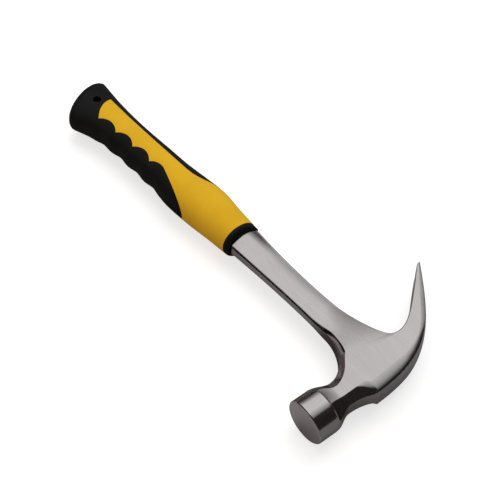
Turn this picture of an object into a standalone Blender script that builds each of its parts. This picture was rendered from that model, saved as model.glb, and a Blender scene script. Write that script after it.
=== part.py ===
"""One-piece forged claw hammer with a two-colour moulded grip, lying on its side. Metres, +Z up.

The sizes below are in the tool's own frame: +X runs along the handle to the head, -Y to the striking
face and +Y to the claw. X is zero on the poll's axis, Y on the shank's axis and Z on the plane of symmetry.
At the end the whole tool is moved so that the middle of its underside is the origin.
"""

import math

import bmesh
import bpy
from mathutils import Vector

# Clearance between neighbouring pieces
GAP = 0.0003

# Striking face, poll and neck
POLL_DIAMETER = 0.0290
FACE_ROUND = 0.0014
FACE_REACH = 0.0566
POLL_LENGTH = 0.0128
SHOULDER_LENGTH = 0.0140
SHOULDER_SIDE_LENGTH = 0.0062
NECK_TOP = 0.0090
NECK_UNDER = 0.0094
NECK_WIDTH = 0.0180
NECK_TOP_FLAT = 0.0096
NECK_UNDER_FLAT = 0.0100
NECK_UPPER_FACET = 0.0052
NECK_LOWER_FACET = 0.0040

# Cheek, crown and claw
CHEEK_THICKNESS = 0.0194
CROWN_RISE = 0.0134
CROWN_FRONT = 0.0115
CROWN_EDGE = 0.0005
CROWN_BAND = 0.0066
CROWN_BAND_END = 0.0036
CROWN_BAND_DROP = 0.0024
CROWN_BAND_ROUNDNESS = 0.5
FACET_EDGE = 0.05
FACET_RUNOUT = 0.0085
CLAW_REACH = 0.0724
CLAW_DROP = 0.0414
CLAW_SWELL = 0.0010
CLAW_TIP_SLANT = (0.0006, 0.0030)
CLAW_TIP_WIDTH = 0.0220
CLAW_EDGE = 0.0010
CLAW_SPREAD_BY = 0.0507
BAND_NARROW_BY = 0.0434
SWELL_FULL_BY = 0.0140
CROTCH_BELOW_AXIS = 0.0108
CROTCH_BEHIND_SHANK = 0.0234
SLOT_LENGTH = 0.0400
SLOT_MOUTH = 0.0092
SLOT_ROOT = 0.0024
SLOT_DRAFT = 0.0010
SLOT_AIM = 0.72
CROTCH_OPPOSITE = 0.26

# Shank
SHANK_THICKNESS = 0.0070
SHANK_CROWN = 0.0006
SHANK_FRONT = 0.0075
SHANK_FLARE_FRONT = 0.0118
SHANK_FLARE_BACK = 0.0109
SHANK_FLARE_THICKNESS = 0.0090
SHANK_FLARE_CROWN = 0.0038
SHANK_FLARE_LENGTH = 0.0190
SHANK_EDGE_BEVEL = 0.0013
SHANK_EDGE_DEPTH = 0.0010
SHANK_EDGE_ROUNDNESS = 0.5
FILLET_LENGTH = 0.0286
FILLET_CUT = 0.0034
FILLET_DEPTH = 0.0027
FILLET_ROUNDNESS = 0.3
THIN_FROM_AXIS = 0.0540
THICK_FROM_AXIS = 0.0150

# How hollow the neck's top is, and how its upper facets run out
NECK_HOLLOW = 2.2
FACET_HOLLOW = 1.7

# The largest shares of the thin claw that its edges take up
BAND_LIMIT = 0.9
CLAW_EDGE_LIMIT = 0.4
SWELL_LIMIT = 0.2

# Handles of the curves in plan, each from the curve's own end point
CLAW_OUTER_HANDLES = ((-0.0010, 0.0402), (0.0425, -0.0297))
CLAW_INNER_HANDLES = ((0.0020, 0.0106), (0.0215, -0.0254))
SHANK_BACK_HANDLES = ((0.0390, -0.0028), (-0.0032, -0.0149))
SHANK_FRONT_HANDLES = ((0.0632, 0.0046), (-0.0223, -0.0004))

# Tang inside the grip
GRIP_START = 0.1340
TANG_SHOULDER = 0.0035
TANG_LENGTH = 0.1360
TANG_WIDTH = 0.0155
TANG_END_WIDTH = 0.0120
TANG_THICKNESS = 0.0064
TANG_OFFSET = 0.0012
TANG_DROP = 0.0055
TANG_HOLE_DIAMETER = 0.0070
TANG_HOLE_COUNT = 3
TANG_HOLE_FIRST = 0.0320
TANG_HOLE_PITCH = 0.0380

# Grip form: distance behind its front end at the finger side and at the palm side, then how far the finger
# side and the palm side lie from the shank's axis, and the half thickness
GRIP_STATIONS = (
    (0.0000, 0.0000, 0.0147, 0.0121, 0.0127),
    (0.0160, 0.0160, 0.0165, 0.0131, 0.0130),
    (0.0350, 0.0340, 0.0191, 0.0146, 0.0135),
    (0.0560, 0.0520, 0.0207, 0.0129, 0.0134),
    (0.0710, 0.0710, 0.0200, 0.0106, 0.0129),
    (0.0920, 0.0920, 0.0205, 0.0094, 0.0126),
    (0.1160, 0.1180, 0.0217, 0.0078, 0.0126),
    (0.1310, 0.1380, 0.0235, 0.0075, 0.0128),
    (0.1460, 0.1560, 0.0262, 0.0080, 0.0135),
    (0.1590, 0.1770, 0.0312, 0.0097, 0.0145),
)
BUTT_DOME = 0.0086
DOME_STEPS = (0.22, 0.45, 0.65, 0.81, 0.92, 0.985)
BUTT_SQUARENESS = 2.3
SECTION_SQUARENESS = 2.1
COVER_THICKNESS = 0.0042
CORE_END_TAPER = 0.8

# Finger scoops and the line where the two colours meet, as distances behind the grip's front end
FINGER_PITCH = 0.0190
FINGER_COUNT = 4
FIRST_CUSP = 0.0860
SCOOP_DEPTH = 0.0011
SCOOP_REACH = 78.0
SCOOP_FADE = (0.6, 1.15)
CUSP_OFFSET = 0.0131
CUSP_LEAN = 0.0008
CUSP_CURVE = 0.00023
LOBE_RISE = 0.0039
FIRST_LOBE = 0.55
PANEL_LINE_START = (0.0720, 0.0098)
PANEL_LINE_END = (0.0300, 0.0222)
PANEL_REAR_CORNER = (0.1540, 0.0000)
PANEL_REAR_BULGE = 0.0021
SPINE_LINE = (
    (0.1120, -0.0011),
    (0.0780, -0.0027),
    (0.0560, -0.0041),
    (0.0395, -0.0087),
    (0.0150, -0.0175),
)
PANEL_MARGIN = 0.0100

# Hang hole and front collar
HANG_HOLE_DIAMETER = 0.0060
HANG_HOLE_BACK = 0.1582
HANG_HOLE_OFFSET = 0.0088
COLLAR_LENGTH = 0.0047
COLLAR_STRAIGHT = 0.0012
COLLAR_LIP = 0.0006

# How finely round shapes are divided
FLAT_CELLS = 2
EDGE_CELLS = 4
FACET_CELLS = 2
BAND_SHARE = 0.5
NECK_CROWDING = 1.3
CLAW_CROWDING = 1.15
SHARP_ANGLE = math.radians(35)
HEAD_SIDE_CELLS = 6
BODY_CELLS = 8
GRIP_SIDES = 40
STATION_STEPS = 6
CORE_SIDES = 24

STEEL = ((0.55, 0.53, 0.52), 0.32, 1.0)
YELLOW = ((0.67, 0.41, 0.02), 0.50, 0.0)
BLACK = ((0.012, 0.012, 0.012), 0.62, 0.0)
CORE_GREY = ((0.05, 0.05, 0.055), 0.55, 0.0)

EIGHTH_TURN = math.pi / 4
POLL_RADIUS = POLL_DIAMETER / 2
SHOULDER_Y = POLL_LENGTH - FACE_REACH
WAIST_Y = SHOULDER_Y + SHOULDER_LENGTH
CHEEK_HALF = CHEEK_THICKNESS / 2
FILLET_CENTRE = (-NECK_UNDER - FILLET_LENGTH, WAIST_Y)
FILLET_RISE = -WAIST_Y - SHANK_FRONT
CROTCH = (-CROTCH_BELOW_AXIS, CROTCH_BEHIND_SHANK)
CLAW_TIP = (-CLAW_DROP, CLAW_REACH)


def lerp(start, end, share):
    return start + (end - start) * share


def smooth(value, start, end):
    """0 before start, 1 after end and an S-curve between them."""
    share = min(max((value - start) / (end - start), 0.0), 1.0)
    return share * share * (3 - 2 * share)


def bezier(points, share):
    """A point in plan on the cubic curve with these four control points."""
    a, b, c, d = (Vector(p) for p in points)
    rest = 1 - share
    return a * rest**3 + b * 3 * rest**2 * share + c * 3 * rest * share**2 + d * share**3


def bezier_at_x(points, x):
    """The point with this X on a curve whose X only grows."""
    low, high = 0.0, 1.0
    for _ in range(40):
        middle = (low + high) / 2
        if bezier(points, middle).x < x:
            low = middle
        else:
            high = middle
    return bezier(points, low)


def spline(rows, steps):
    """Rows of numbers with `steps` smooth rows from each to the next, passing through all of them."""
    last = len(rows) - 1
    found = []
    for index in range(last):
        before, here, after, beyond = (rows[min(max(index + k, 0), last)] for k in (-1, 0, 1, 2))
        for step in range(steps):
            t = step / steps
            row = []
            for a, b, c, d in zip(before, here, after, beyond):
                bend = 2 * a - 5 * b + 4 * c - d
                twist = 3 * b - a - 3 * c + d
                row.append(0.5 * (2 * b + (c - a) * t + bend * t**2 + twist * t**3))
            found.append(tuple(row))
    return found + [rows[last]]


# Meshes, objects and Booleans


def add_object(name, mesh, collection):
    obj = bpy.data.objects.new(name, mesh)
    collection.objects.link(obj)
    return obj


def finished_mesh(name, work):
    """The bmesh as a mesh with its faces pointing out, smooth but for its sharp edges."""
    bmesh.ops.recalc_face_normals(work, faces=work.faces)
    mesh = bpy.data.meshes.new(name)
    work.to_mesh(mesh)
    work.free()
    mesh.shade_smooth()
    mesh.set_sharp_from_angle(angle=SHARP_ANGLE)
    return mesh


def bridge(work, ring, following, skip=()):
    """Quads between two rings of as many vertices."""
    count = len(ring)
    for k in range(count):
        if k not in skip:
            after = (k + 1) % count
            work.faces.new((ring[k], ring[after], following[after], following[k]))


def loft(name, rings, closed=False):
    """A solid through rings of points: capped at its two ends, or joined end to start like a tyre."""
    work = bmesh.new()
    loops = [[work.verts.new(point) for point in ring] for ring in rings]
    for ring, following in zip(loops, loops[1:]):
        bridge(work, ring, following)
    if closed:
        bridge(work, loops[-1], loops[0])
    else:
        work.faces.new(loops[0])
        work.faces.new(loops[-1])
    return finished_mesh(name, work)


def prism(name, outline, half_height):
    """A plan outline drawn straight through, above and below the plane of symmetry."""
    return loft(name, [[(x, y, z) for x, y in outline] for z in (-half_height, half_height)])


def cylinder(name, radius, depth, place, cutters):
    work = bmesh.new()
    bmesh.ops.create_cone(
        work, cap_ends=True, segments=24, radius1=radius, radius2=radius, depth=depth
    )
    bmesh.ops.translate(work, verts=work.verts, vec=place)
    return cutter(name, finished_mesh(name, work), cutters)


def cutter(name, mesh, cutters):
    obj = add_object(name, mesh, cutters)
    obj.hide_render = True
    obj.display_type = "WIRE"
    return obj


def boolean(obj, other, operation):
    modifier = obj.modifiers.new(f"{operation.lower()}_{other.name}", "BOOLEAN")
    modifier.operation = operation
    modifier.solver = "EXACT"
    modifier.object = other


def paint(obj, name, look):
    colour, roughness, metallic = look
    material = bpy.data.materials.new(name)
    material.use_nodes = True
    shader = material.node_tree.nodes["Principled BSDF"]
    shader.inputs["Base Color"].default_value = (*colour, 1.0)
    shader.inputs["Roughness"].default_value = roughness
    shader.inputs["Metallic"].default_value = metallic
    obj.data.materials.append(material)


# Sections of the forging. Each half section runs over the upper side from its first edge to its second one.


def edge_points(start, end, roundness, cells):
    """Points (height, z) after start, straight to end or bowed out like a quarter of an ellipse."""
    points = []
    for k in range(1, cells + 1):
        share = k / cells
        turn = share * math.pi / 2
        straight = (lerp(start[0], end[0], share), lerp(start[1], end[1], share))
        rounded = (lerp(start[0], end[0], 1 - math.cos(turn)), lerp(start[1], end[1], math.sin(turn)))
        points.append(tuple(lerp(s, r, roundness) for s, r in zip(straight, rounded)))
    return points


def forged_half(half, first, side, second, side_cells, facet=None, crown=0.0, swell=0.0):
    """Points (height, z) of a flat-sided section. first and second are (half flat, cut along, roundness).

    facet is (cut along, half width) of a straight facet that comes before the first rounded edge,
    crown is how much the side bulges in its middle, swell how much the first flat does.
    """
    points = []
    for index, (flat, cut, roundness) in enumerate((first, second)):
        bulge = swell if index == 0 else 0.0
        shares = [k / FLAT_CELLS for k in range(FLAT_CELLS + 1)]
        corner = [(half + bulge * (1 - share**2), flat * share) for share in shares]
        rounded_cells = EDGE_CELLS
        if index == 0 and facet:
            corner += edge_points(corner[-1], (half - facet[0], facet[1]), 0.0, FACET_CELLS)
            rounded_cells -= FACET_CELLS
        corner += edge_points(corner[-1], (half - cut, side), roundness, rounded_cells)
        if index == 0:
            points += corner
        else:
            start, end = points[-1][0], -corner[-1][0]
            for k in range(1, side_cells):
                share = k / side_cells
                points.append((lerp(start, end, share), side + crown * 4 * share * (1 - share)))
            points += [(-height, z) for height, z in reversed(corner)]
    return points


def round_half(half, width):
    """Points (height, z) of a round section, divided like a flat-sided one, in eighths of a turn."""
    rounded_cells = EDGE_CELLS - FACET_CELLS
    turns = [0.5 * k / FLAT_CELLS for k in range(FLAT_CELLS)]
    turns += [0.5 + (1 - BAND_SHARE) * k / FACET_CELLS for k in range(FACET_CELLS)]
    turns += [1.5 - BAND_SHARE + BAND_SHARE * k / rounded_cells for k in range(rounded_cells)]
    turns += [1.5 + k / HEAD_SIDE_CELLS for k in range(HEAD_SIDE_CELLS)]
    turns += [2.5 + k / EDGE_CELLS for k in range(EDGE_CELLS)]
    turns += [3.5 + 0.5 * k / FLAT_CELLS for k in range(FLAT_CELLS + 1)]
    angles = [turn * EIGHTH_TURN for turn in turns]
    return [(half * math.cos(angle), width * math.sin(angle)) for angle in angles]


def whole_ring(first, second, half_section):
    """The closed ring of a half section laid between two points in plan, first edge at `first`."""
    first, second = Vector(first), Vector(second)
    middle = (first + second) / 2
    along = (first - second).normalized()
    upper = []
    for height, z in half_section:
        point = middle + along * height
        upper.append((point.x, point.y, z))
    lower = [(x, y, -z) for x, y, z in upper[-2:0:-1]]
    return upper + lower


def half_length(first, second):
    return (Vector(first) - Vector(second)).length / 2


# Outlines of the forging in plan


def curve(start, end, handles):
    """Control points of a cubic curve in plan."""
    (first_x, first_y), (second_x, second_y) = handles
    first = (start[0] + first_x, start[1] + first_y)
    second = (end[0] + second_x, end[1] + second_y)
    return (start, first, second, end)


CLAW_INNER_TIP = (CLAW_TIP[0] + CLAW_TIP_SLANT[0], CLAW_TIP[1] - CLAW_TIP_SLANT[1])
CLAW_OUTER = curve((CROWN_RISE, -CROWN_FRONT), CLAW_TIP, CLAW_OUTER_HANDLES)
CLAW_INNER = curve(CROTCH, CLAW_INNER_TIP, CLAW_INNER_HANDLES)
SHANK_BACK = curve((-GRIP_START, SHANK_FLARE_BACK), CROTCH, SHANK_BACK_HANDLES)
SHANK_FRONT_LINE = curve(
    (-GRIP_START, -SHANK_FLARE_FRONT), (FILLET_CENTRE[0], -SHANK_FRONT), SHANK_FRONT_HANDLES
)


def fillet(turn):
    """The hollow between neck and shank: 0 degrees on the neck's underside, 90 on the shank's front."""
    angle = math.radians(turn)
    return Vector(
        (
            FILLET_CENTRE[0] + FILLET_LENGTH * math.cos(angle),
            FILLET_CENTRE[1] + FILLET_RISE * math.sin(angle),
        )
    )


def neck_top(y):
    """The neck's upper outline, hollow from its waist up to the crown's front corner."""
    share = max((y - WAIST_Y) / (-CROWN_FRONT - WAIST_Y), 0.0)
    return Vector((lerp(NECK_TOP, CROWN_RISE, share**NECK_HOLLOW), y))


def head_half_thickness(y):
    """Half the thickness of the flat sides: neck, cheek, then the claw spreading to its tips."""
    neck_to_cheek = lerp(NECK_WIDTH / 2, CHEEK_HALF, smooth(y, WAIST_Y, -CROWN_FRONT))
    return lerp(neck_to_cheek, CLAW_TIP_WIDTH / 2, smooth(y, -CROWN_FRONT, CLAW_SPREAD_BY))


def shank_half_thickness(x):
    """Half the thickness of the shank: thin in the middle, thicker to the head and at the grip."""
    thin = lerp(SHANK_THICKNESS / 2, SHANK_FLARE_THICKNESS / 2, nearness_to_grip(x))
    return lerp(thin, CHEEK_HALF, nearness_to_head(x))


def nearness_to_head(x):
    return smooth(x, -THIN_FROM_AXIS, -THICK_FROM_AXIS)


def nearness_to_grip(x):
    collar_front = GRIP_START - COLLAR_LENGTH
    return smooth(-x, collar_front - SHANK_FLARE_LENGTH, collar_front)


def poll_rings():
    """The turned poll, then the shoulder where it becomes the eight-sided neck."""
    rings = []
    profile = []
    for turn in (0, 30, 60, 90):
        angle = math.radians(turn)
        y = -FACE_REACH + FACE_ROUND * (1 - math.cos(angle))
        profile.append((y, POLL_RADIUS - FACE_ROUND * (1 - math.sin(angle))))
    profile.append((SHOULDER_Y, POLL_RADIUS))
    for y, radius in profile:
        rings.append(whole_ring((radius, y), (-radius, y), round_half(radius, radius)))
    steps = 9
    for step in range(1, steps + 1):
        y = lerp(SHOULDER_Y, WAIST_Y, step / steps)
        drop = smooth(y, SHOULDER_Y, WAIST_Y)
        hollow = (y - SHOULDER_Y - SHOULDER_LENGTH / steps) / SHOULDER_SIDE_LENGTH
        hollow = min(max(hollow, 0.0), 1.0)
        narrowing = math.sqrt(1 - (1 - hollow) ** 2)
        top = (lerp(POLL_RADIUS, NECK_TOP, drop), y)
        under = (-lerp(POLL_RADIUS, NECK_UNDER, drop), y)
        half = half_length(top, under)
        turned = round_half(half, lerp(POLL_RADIUS, NECK_WIDTH / 2, narrowing))
        faceted = neck_half(half, top)
        section = [tuple(lerp(t, f, narrowing) for t, f in zip(*pair)) for pair in zip(turned, faceted)]
        rings.append(whole_ring(top, under, section))
    return rings


def neck_half(half, top):
    """The eight-sided neck section, whose upper facets run out where the crown's rounded edge begins."""
    height, y = top
    side = head_half_thickness(y)
    runout = min(max((y + CROWN_FRONT + FACET_RUNOUT) / FACET_RUNOUT, 0.0), 1.0) ** FACET_HOLLOW
    growth = smooth(y, -CROWN_FRONT - FACET_RUNOUT, -CROWN_FRONT)
    swell = smooth(y, WAIST_Y, -CROWN_FRONT)
    band = lerp(FACET_EDGE, 1.0, growth)
    drop = CROWN_BAND_DROP * band
    facet = (lerp(NECK_UPPER_FACET + height - NECK_TOP, CROWN_EDGE, runout), side - drop)
    upper = (
        lerp(NECK_TOP_FLAT / 2, side - CROWN_BAND_DROP - CROWN_EDGE, runout),
        facet[0] + (CROWN_BAND - CROWN_EDGE) * band,
        CROWN_BAND_ROUNDNESS,
    )
    lower = (
        lerp(NECK_UNDER_FLAT / 2, side - FILLET_DEPTH, swell),
        lerp(NECK_LOWER_FACET, FILLET_CUT, swell),
        FILLET_ROUNDNESS * swell,
    )
    return forged_half(half, upper, side, lower, HEAD_SIDE_CELLS, facet)


def neck_rings():
    """From the waist to the line between the crown's front corner and the middle of the front fillet."""
    rings = []
    steps = 8
    for step in range(1, steps + 1):
        share = step / steps
        top = neck_top(lerp(WAIST_Y, -CROWN_FRONT, 1 - (1 - share) ** NECK_CROWDING))
        under = fillet(45 * share)
        rings.append(whole_ring(top, under, neck_half(half_length(top, under), top)))
    return rings


def crown_section(half, top_y, under, under_cut):
    """A flat-sided section with a rounded edge along the crown and small edges on its inner side."""
    side = head_half_thickness(top_y)
    band = lerp(1.0, CROWN_BAND_END / CROWN_BAND, smooth(top_y, 0.0, BAND_NARROW_BY))
    band = min(band, half * BAND_LIMIT / CROWN_BAND)
    edge = CROWN_EDGE * band
    facet = (edge, side - CROWN_BAND_DROP * band)
    upper = (facet[1] - edge, CROWN_BAND * band, CROWN_BAND_ROUNDNESS)
    lower = (under, min(under_cut, half * CLAW_EDGE_LIMIT), 1.0)
    swell = min(CLAW_SWELL * smooth(top_y, -CROWN_FRONT, SWELL_FULL_BY), half * SWELL_LIMIT)
    return forged_half(half, upper, side, lower, HEAD_SIDE_CELLS, facet, swell=swell)


def body_rings(corner, shares):
    """Across the cheek, whose lower edge is the line that the shank grows from."""
    crotch_top = bezier(CLAW_OUTER, shares[-1])
    down = (Vector(CROTCH) - crotch_top).normalized()
    seam_end = Vector(CROTCH) - down * CLAW_EDGE
    rings = []
    for index, share in enumerate(shares):
        top = bezier(CLAW_OUTER, share)
        if index == len(shares) - 1:
            under, flat, cut = Vector(CROTCH), head_half_thickness(top.y) - CLAW_EDGE, CLAW_EDGE
        else:
            under = corner.lerp(seam_end, (index + 1) / len(shares))
            flat, cut = head_half_thickness(top.y), 0.0
        rings.append(whole_ring(top, under, crown_section(half_length(top, under), top.y, flat, cut)))
    return rings


def claw_rings(steps):
    """From the crotch round to the thin tips."""
    rings = []
    for step in range(1, steps + 1):
        share = 1 - (1 - step / steps) ** CLAW_CROWDING
        top = bezier(CLAW_OUTER, lerp(CROTCH_OPPOSITE, 1.0, share))
        under = bezier(CLAW_INNER, share)
        half = half_length(top, under)
        edge = min(CLAW_EDGE, half * CLAW_EDGE_LIMIT)
        flat = head_half_thickness(top.y) - edge
        rings.append(whole_ring(top, under, crown_section(half, top.y, flat, edge)))
    return rings


def shank_ring(front, back, grow=0.0):
    """A shank section from its front strip to its back strip, made larger all round by grow."""
    side = shank_half_thickness(front[0]) + grow
    to_head = nearness_to_head(front[0])
    along = (Vector(front) - Vector(back)).normalized()
    front = Vector(front) + along * grow
    back = Vector(back) - along * grow
    front_edge = (
        side - lerp(SHANK_EDGE_DEPTH, FILLET_DEPTH, to_head),
        lerp(SHANK_EDGE_BEVEL, FILLET_CUT, to_head),
        lerp(SHANK_EDGE_ROUNDNESS, FILLET_ROUNDNESS, to_head),
    )
    back_edge = (side - SHANK_EDGE_DEPTH, SHANK_EDGE_BEVEL, 1.0)
    crown = lerp(SHANK_CROWN, SHANK_FLARE_CROWN, nearness_to_grip(front[0])) * (1 - to_head)
    section = forged_half(half_length(front, back), front_edge, side, back_edge, BODY_CELLS, crown=crown)
    return whole_ring(front, back, section)


def shank_rings():
    """From the fillets under the head down to the grip's front end."""
    rings = []
    skew = fillet(45).x - CROTCH[0]
    turns = 6
    square_after = turns + 3
    for step in range(1, turns + 1):
        front = fillet(45 + 45 * step / turns)
        lean = skew * (1 - step / square_after)
        rings.append(shank_ring(front, bezier_at_x(SHANK_BACK, front.x - lean)))
    flare_start = COLLAR_LENGTH + SHANK_FLARE_LENGTH - GRIP_START
    places = [lerp(FILLET_CENTRE[0], flare_start, step / 7) for step in range(1, 8)]
    places += [lerp(flare_start, TANG_SHOULDER - GRIP_START, step / 8) for step in range(1, 9)]
    for step, x in enumerate(places):
        lean = skew * max(1 - (turns + step + 1) / square_after, 0.0)
        rings.append(shank_ring(bezier_at_x(SHANK_FRONT_LINE, x), bezier_at_x(SHANK_BACK, x - lean)))
    return rings


def tang_ring(x, grow=0.0):
    """The tang's section, narrower than the shank and sinking to the middle of the grip."""
    share = (-x - GRIP_START) / TANG_LENGTH
    half = lerp(TANG_WIDTH, TANG_END_WIDTH, share) / 2 + grow
    middle = -TANG_OFFSET - TANG_DROP * share
    side = TANG_THICKNESS / 2 + grow
    edge = (side - SHANK_EDGE_DEPTH, SHANK_EDGE_DEPTH, 1.0)
    return whole_ring((x, middle - half), (x, middle + half), forged_half(half, edge, side, edge, BODY_CELLS))


def tang_hole_centres():
    for index in range(TANG_HOLE_COUNT):
        behind = TANG_HOLE_FIRST + TANG_HOLE_PITCH * index
        yield (-GRIP_START - behind, -TANG_OFFSET - TANG_DROP * behind / TANG_LENGTH, 0.0)


def forging_mesh():
    """Poll, neck, cheek and claw as one run of rings, with the shank grown from the cheek's underside."""
    shares = [CROTCH_OPPOSITE * (k + 1) / BODY_CELLS for k in range(BODY_CELLS)]
    front = poll_rings() + neck_rings()
    seam_start = len(front) - 1
    side_end = FLAT_CELLS + EDGE_CELLS + HEAD_SIDE_CELLS
    under_middle = side_end + EDGE_CELLS + FLAT_CELLS
    far_end = under_middle + EDGE_CELLS + FLAT_CELLS
    corner = Vector(front[seam_start][side_end][:2])
    rings = front + body_rings(corner, shares) + claw_rings(16)
    seam_end = seam_start + BODY_CELLS

    work = bmesh.new()
    head = [[work.verts.new(point) for point in ring] for ring in rings]
    for index, (ring, following) in enumerate(zip(head, head[1:])):
        opened = range(side_end, far_end) if seam_start <= index < seam_end else ()
        bridge(work, ring, following, skip=opened)
    work.faces.new(head[0])
    work.faces.new(head[-1])

    seam = [head[seam_start][k] for k in range(under_middle, side_end, -1)]
    seam += [head[i][side_end] for i in range(seam_start, seam_end)]
    seam += [head[seam_end][k] for k in range(side_end, far_end)]
    seam += [head[i][far_end] for i in range(seam_end, seam_start, -1)]
    seam += [head[seam_start][k] for k in range(far_end, under_middle, -1)]
    tang_steps = 8
    lower = shank_rings()
    lower += [tang_ring(-GRIP_START - TANG_LENGTH * k / tang_steps) for k in range(tang_steps + 1)]
    loops = [seam] + [[work.verts.new(point) for point in ring] for ring in lower]
    for ring, following in zip(loops, loops[1:]):
        bridge(work, ring, following)
    work.faces.new(loops[-1])
    bmesh.ops.delete(work, geom=[v for v in work.verts if not v.link_faces], context="VERTS")
    return finished_mesh("forged_head_and_shank", work)


def slot_mesh():
    """A wedge with a round root, wider towards the inside of the claw, for the nail slot."""
    tip = Vector(CLAW_TIP)
    aim = (bezier(CLAW_OUTER, SLOT_AIM) + bezier(CLAW_INNER, SLOT_AIM)) / 2
    along = (aim - tip).normalized()
    across = Vector((along.y, -along.x))
    root = SLOT_ROOT / 2
    rings = []
    taper = (SLOT_MOUTH / 2 - root) / (SLOT_LENGTH - root)
    for side in (-1, 1):
        spread = SLOT_DRAFT / 2 * side
        mouth = SLOT_MOUTH / 2 + SLOT_MOUTH * taper + spread
        root_width = root + spread / 2
        outline = [(-SLOT_MOUTH, mouth)]
        for k in range(6):
            turn = math.pi / 2 * k / 6
            outline.append((SLOT_LENGTH - root + root * math.sin(turn), root_width * math.cos(turn)))
        outline.append((SLOT_LENGTH, 0.0))
        outline += [(s, -w) for s, w in reversed(outline[:-1])]
        ring = []
        for s, w in outline:
            point = tip + along * s - across * side * CHEEK_THICKNESS
            ring.append((point.x, point.y, w))
        rings.append(ring)
    return loft("nail_slot", rings)


def forged_head_and_shank(parts, cutters):
    obj = add_object("forged_head_and_shank", forging_mesh(), parts)
    boolean(obj, cutter("nail_slot", slot_mesh(), cutters), "DIFFERENCE")
    for index, place in enumerate(tang_hole_centres()):
        hole = cylinder(f"tang_hole_{index}", TANG_HOLE_DIAMETER / 2, CHEEK_THICKNESS, place, cutters)
        boolean(obj, hole, "DIFFERENCE")
    paint(obj, "brushed_steel", STEEL)


# Grip


def grip_ring(station, sides, inset=0.0, scoops=False):
    """An oval between the finger side and the palm side, angles counted from the finger side."""
    finger_back, palm_back, finger_out, palm_out, thickness = station
    finger = Vector((-GRIP_START - finger_back, -finger_out))
    palm = Vector((-GRIP_START - palm_back, palm_out))
    middle = (finger + palm) / 2
    along = (finger - palm).normalized()
    half = half_length(finger, palm) - inset
    thickness -= inset
    ring = []
    for k in range(sides):
        turn = 2 * math.pi * k / sides
        across, up = math.cos(turn), math.sin(turn)
        power = 2 / SECTION_SQUARENESS
        out = math.copysign(abs(across) ** power, across) * half
        rise = math.copysign(abs(up) ** power, up) * thickness
        point = middle + along * out
        if scoops:
            hollow = 1 - scoop(-GRIP_START - point.x, turn) / half
            point = middle + along * out * hollow
            rise *= hollow
        ring.append((point.x, point.y, rise))
    return ring


def scoop(behind, turn):
    """How deep the finger scoops are here: a wave along the grip that fades out round its sides."""
    degrees = math.degrees(math.acos(math.cos(turn)))
    fade = 1 - smooth(degrees, SCOOP_REACH * SCOOP_FADE[0], SCOOP_REACH * SCOOP_FADE[1])
    wave = 0.5 - 0.5 * math.cos(2 * math.pi * (behind - FIRST_CUSP) / FINGER_PITCH)
    first, last = FIRST_CUSP - FINGER_PITCH, FIRST_CUSP + FINGER_PITCH * (FINGER_COUNT - 1)
    window = 1.0 if first <= behind <= last else 0.0
    return SCOOP_DEPTH * fade * wave * window


def dome_rings(station, sides):
    """Rings that shrink over the rounded butt end, square to its last oval."""
    finger_back, palm_back, finger_out, palm_out, _ = station
    across = Vector((finger_back - palm_back, finger_out + palm_out)).normalized()
    outward = Vector((-across.y, across.x))
    base = grip_ring(station, sides)
    middle = Vector((sum(p[0] for p in base), sum(p[1] for p in base))) / len(base)
    rings = []
    for share in DOME_STEPS:
        scale = (1 - share**BUTT_SQUARENESS) ** (1 / BUTT_SQUARENESS)
        moved = middle + outward * BUTT_DOME * share
        ring = []
        for x, y, z in base:
            ring.append((moved.x + (x - middle.x) * scale, moved.y + (y - middle.y) * scale, z * scale))
        rings.append(ring)
    return rings


def grip_mesh(name):
    stations = spline(GRIP_STATIONS, STATION_STEPS)
    rings = [grip_ring(station, GRIP_SIDES, scoops=True) for station in stations]
    return loft(name, rings + dome_rings(GRIP_STATIONS[-1], GRIP_SIDES))


def core_mesh(name, grow=0.0, lead=0.0):
    """The rigid core's outer form, made larger all round by grow and longer at its front by lead."""
    stations = spline(GRIP_STATIONS, 2)
    rings = [grip_ring(station, CORE_SIDES, inset=COVER_THICKNESS - grow) for station in stations]
    last = Vector((sum(p[0] for p in rings[-1]), sum(p[1] for p in rings[-1]))) / CORE_SIDES
    end = []
    for x, y, z in rings[-1]:
        x, y = (lerp(middle, side, CORE_END_TAPER) for middle, side in zip(last, (x, y)))
        end.append((x - grow, y, z * CORE_END_TAPER))
    rings[-1] = end
    if lead:
        rings.insert(0, [(x + lead, y, z) for x, y, z in rings[0]])
    return loft(name, rings)


def behind_grip_front(points):
    """Plan points from (distance behind the grip's front end, distance to the finger side)."""
    return [(-GRIP_START - back, -out) for back, out in points]


def arc(start, end, rise, steps):
    """Points after start, up to end, on an arc that rises to the left of the way from start to end."""
    start, end = Vector(start), Vector(end)
    chord = end - start
    normal = Vector((-chord.y, chord.x)).normalized()
    points = []
    for k in range(1, steps + 1):
        share = k / steps
        points.append(tuple(start.lerp(end, share) + normal * rise * 4 * share * (1 - share)))
    return points


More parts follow.
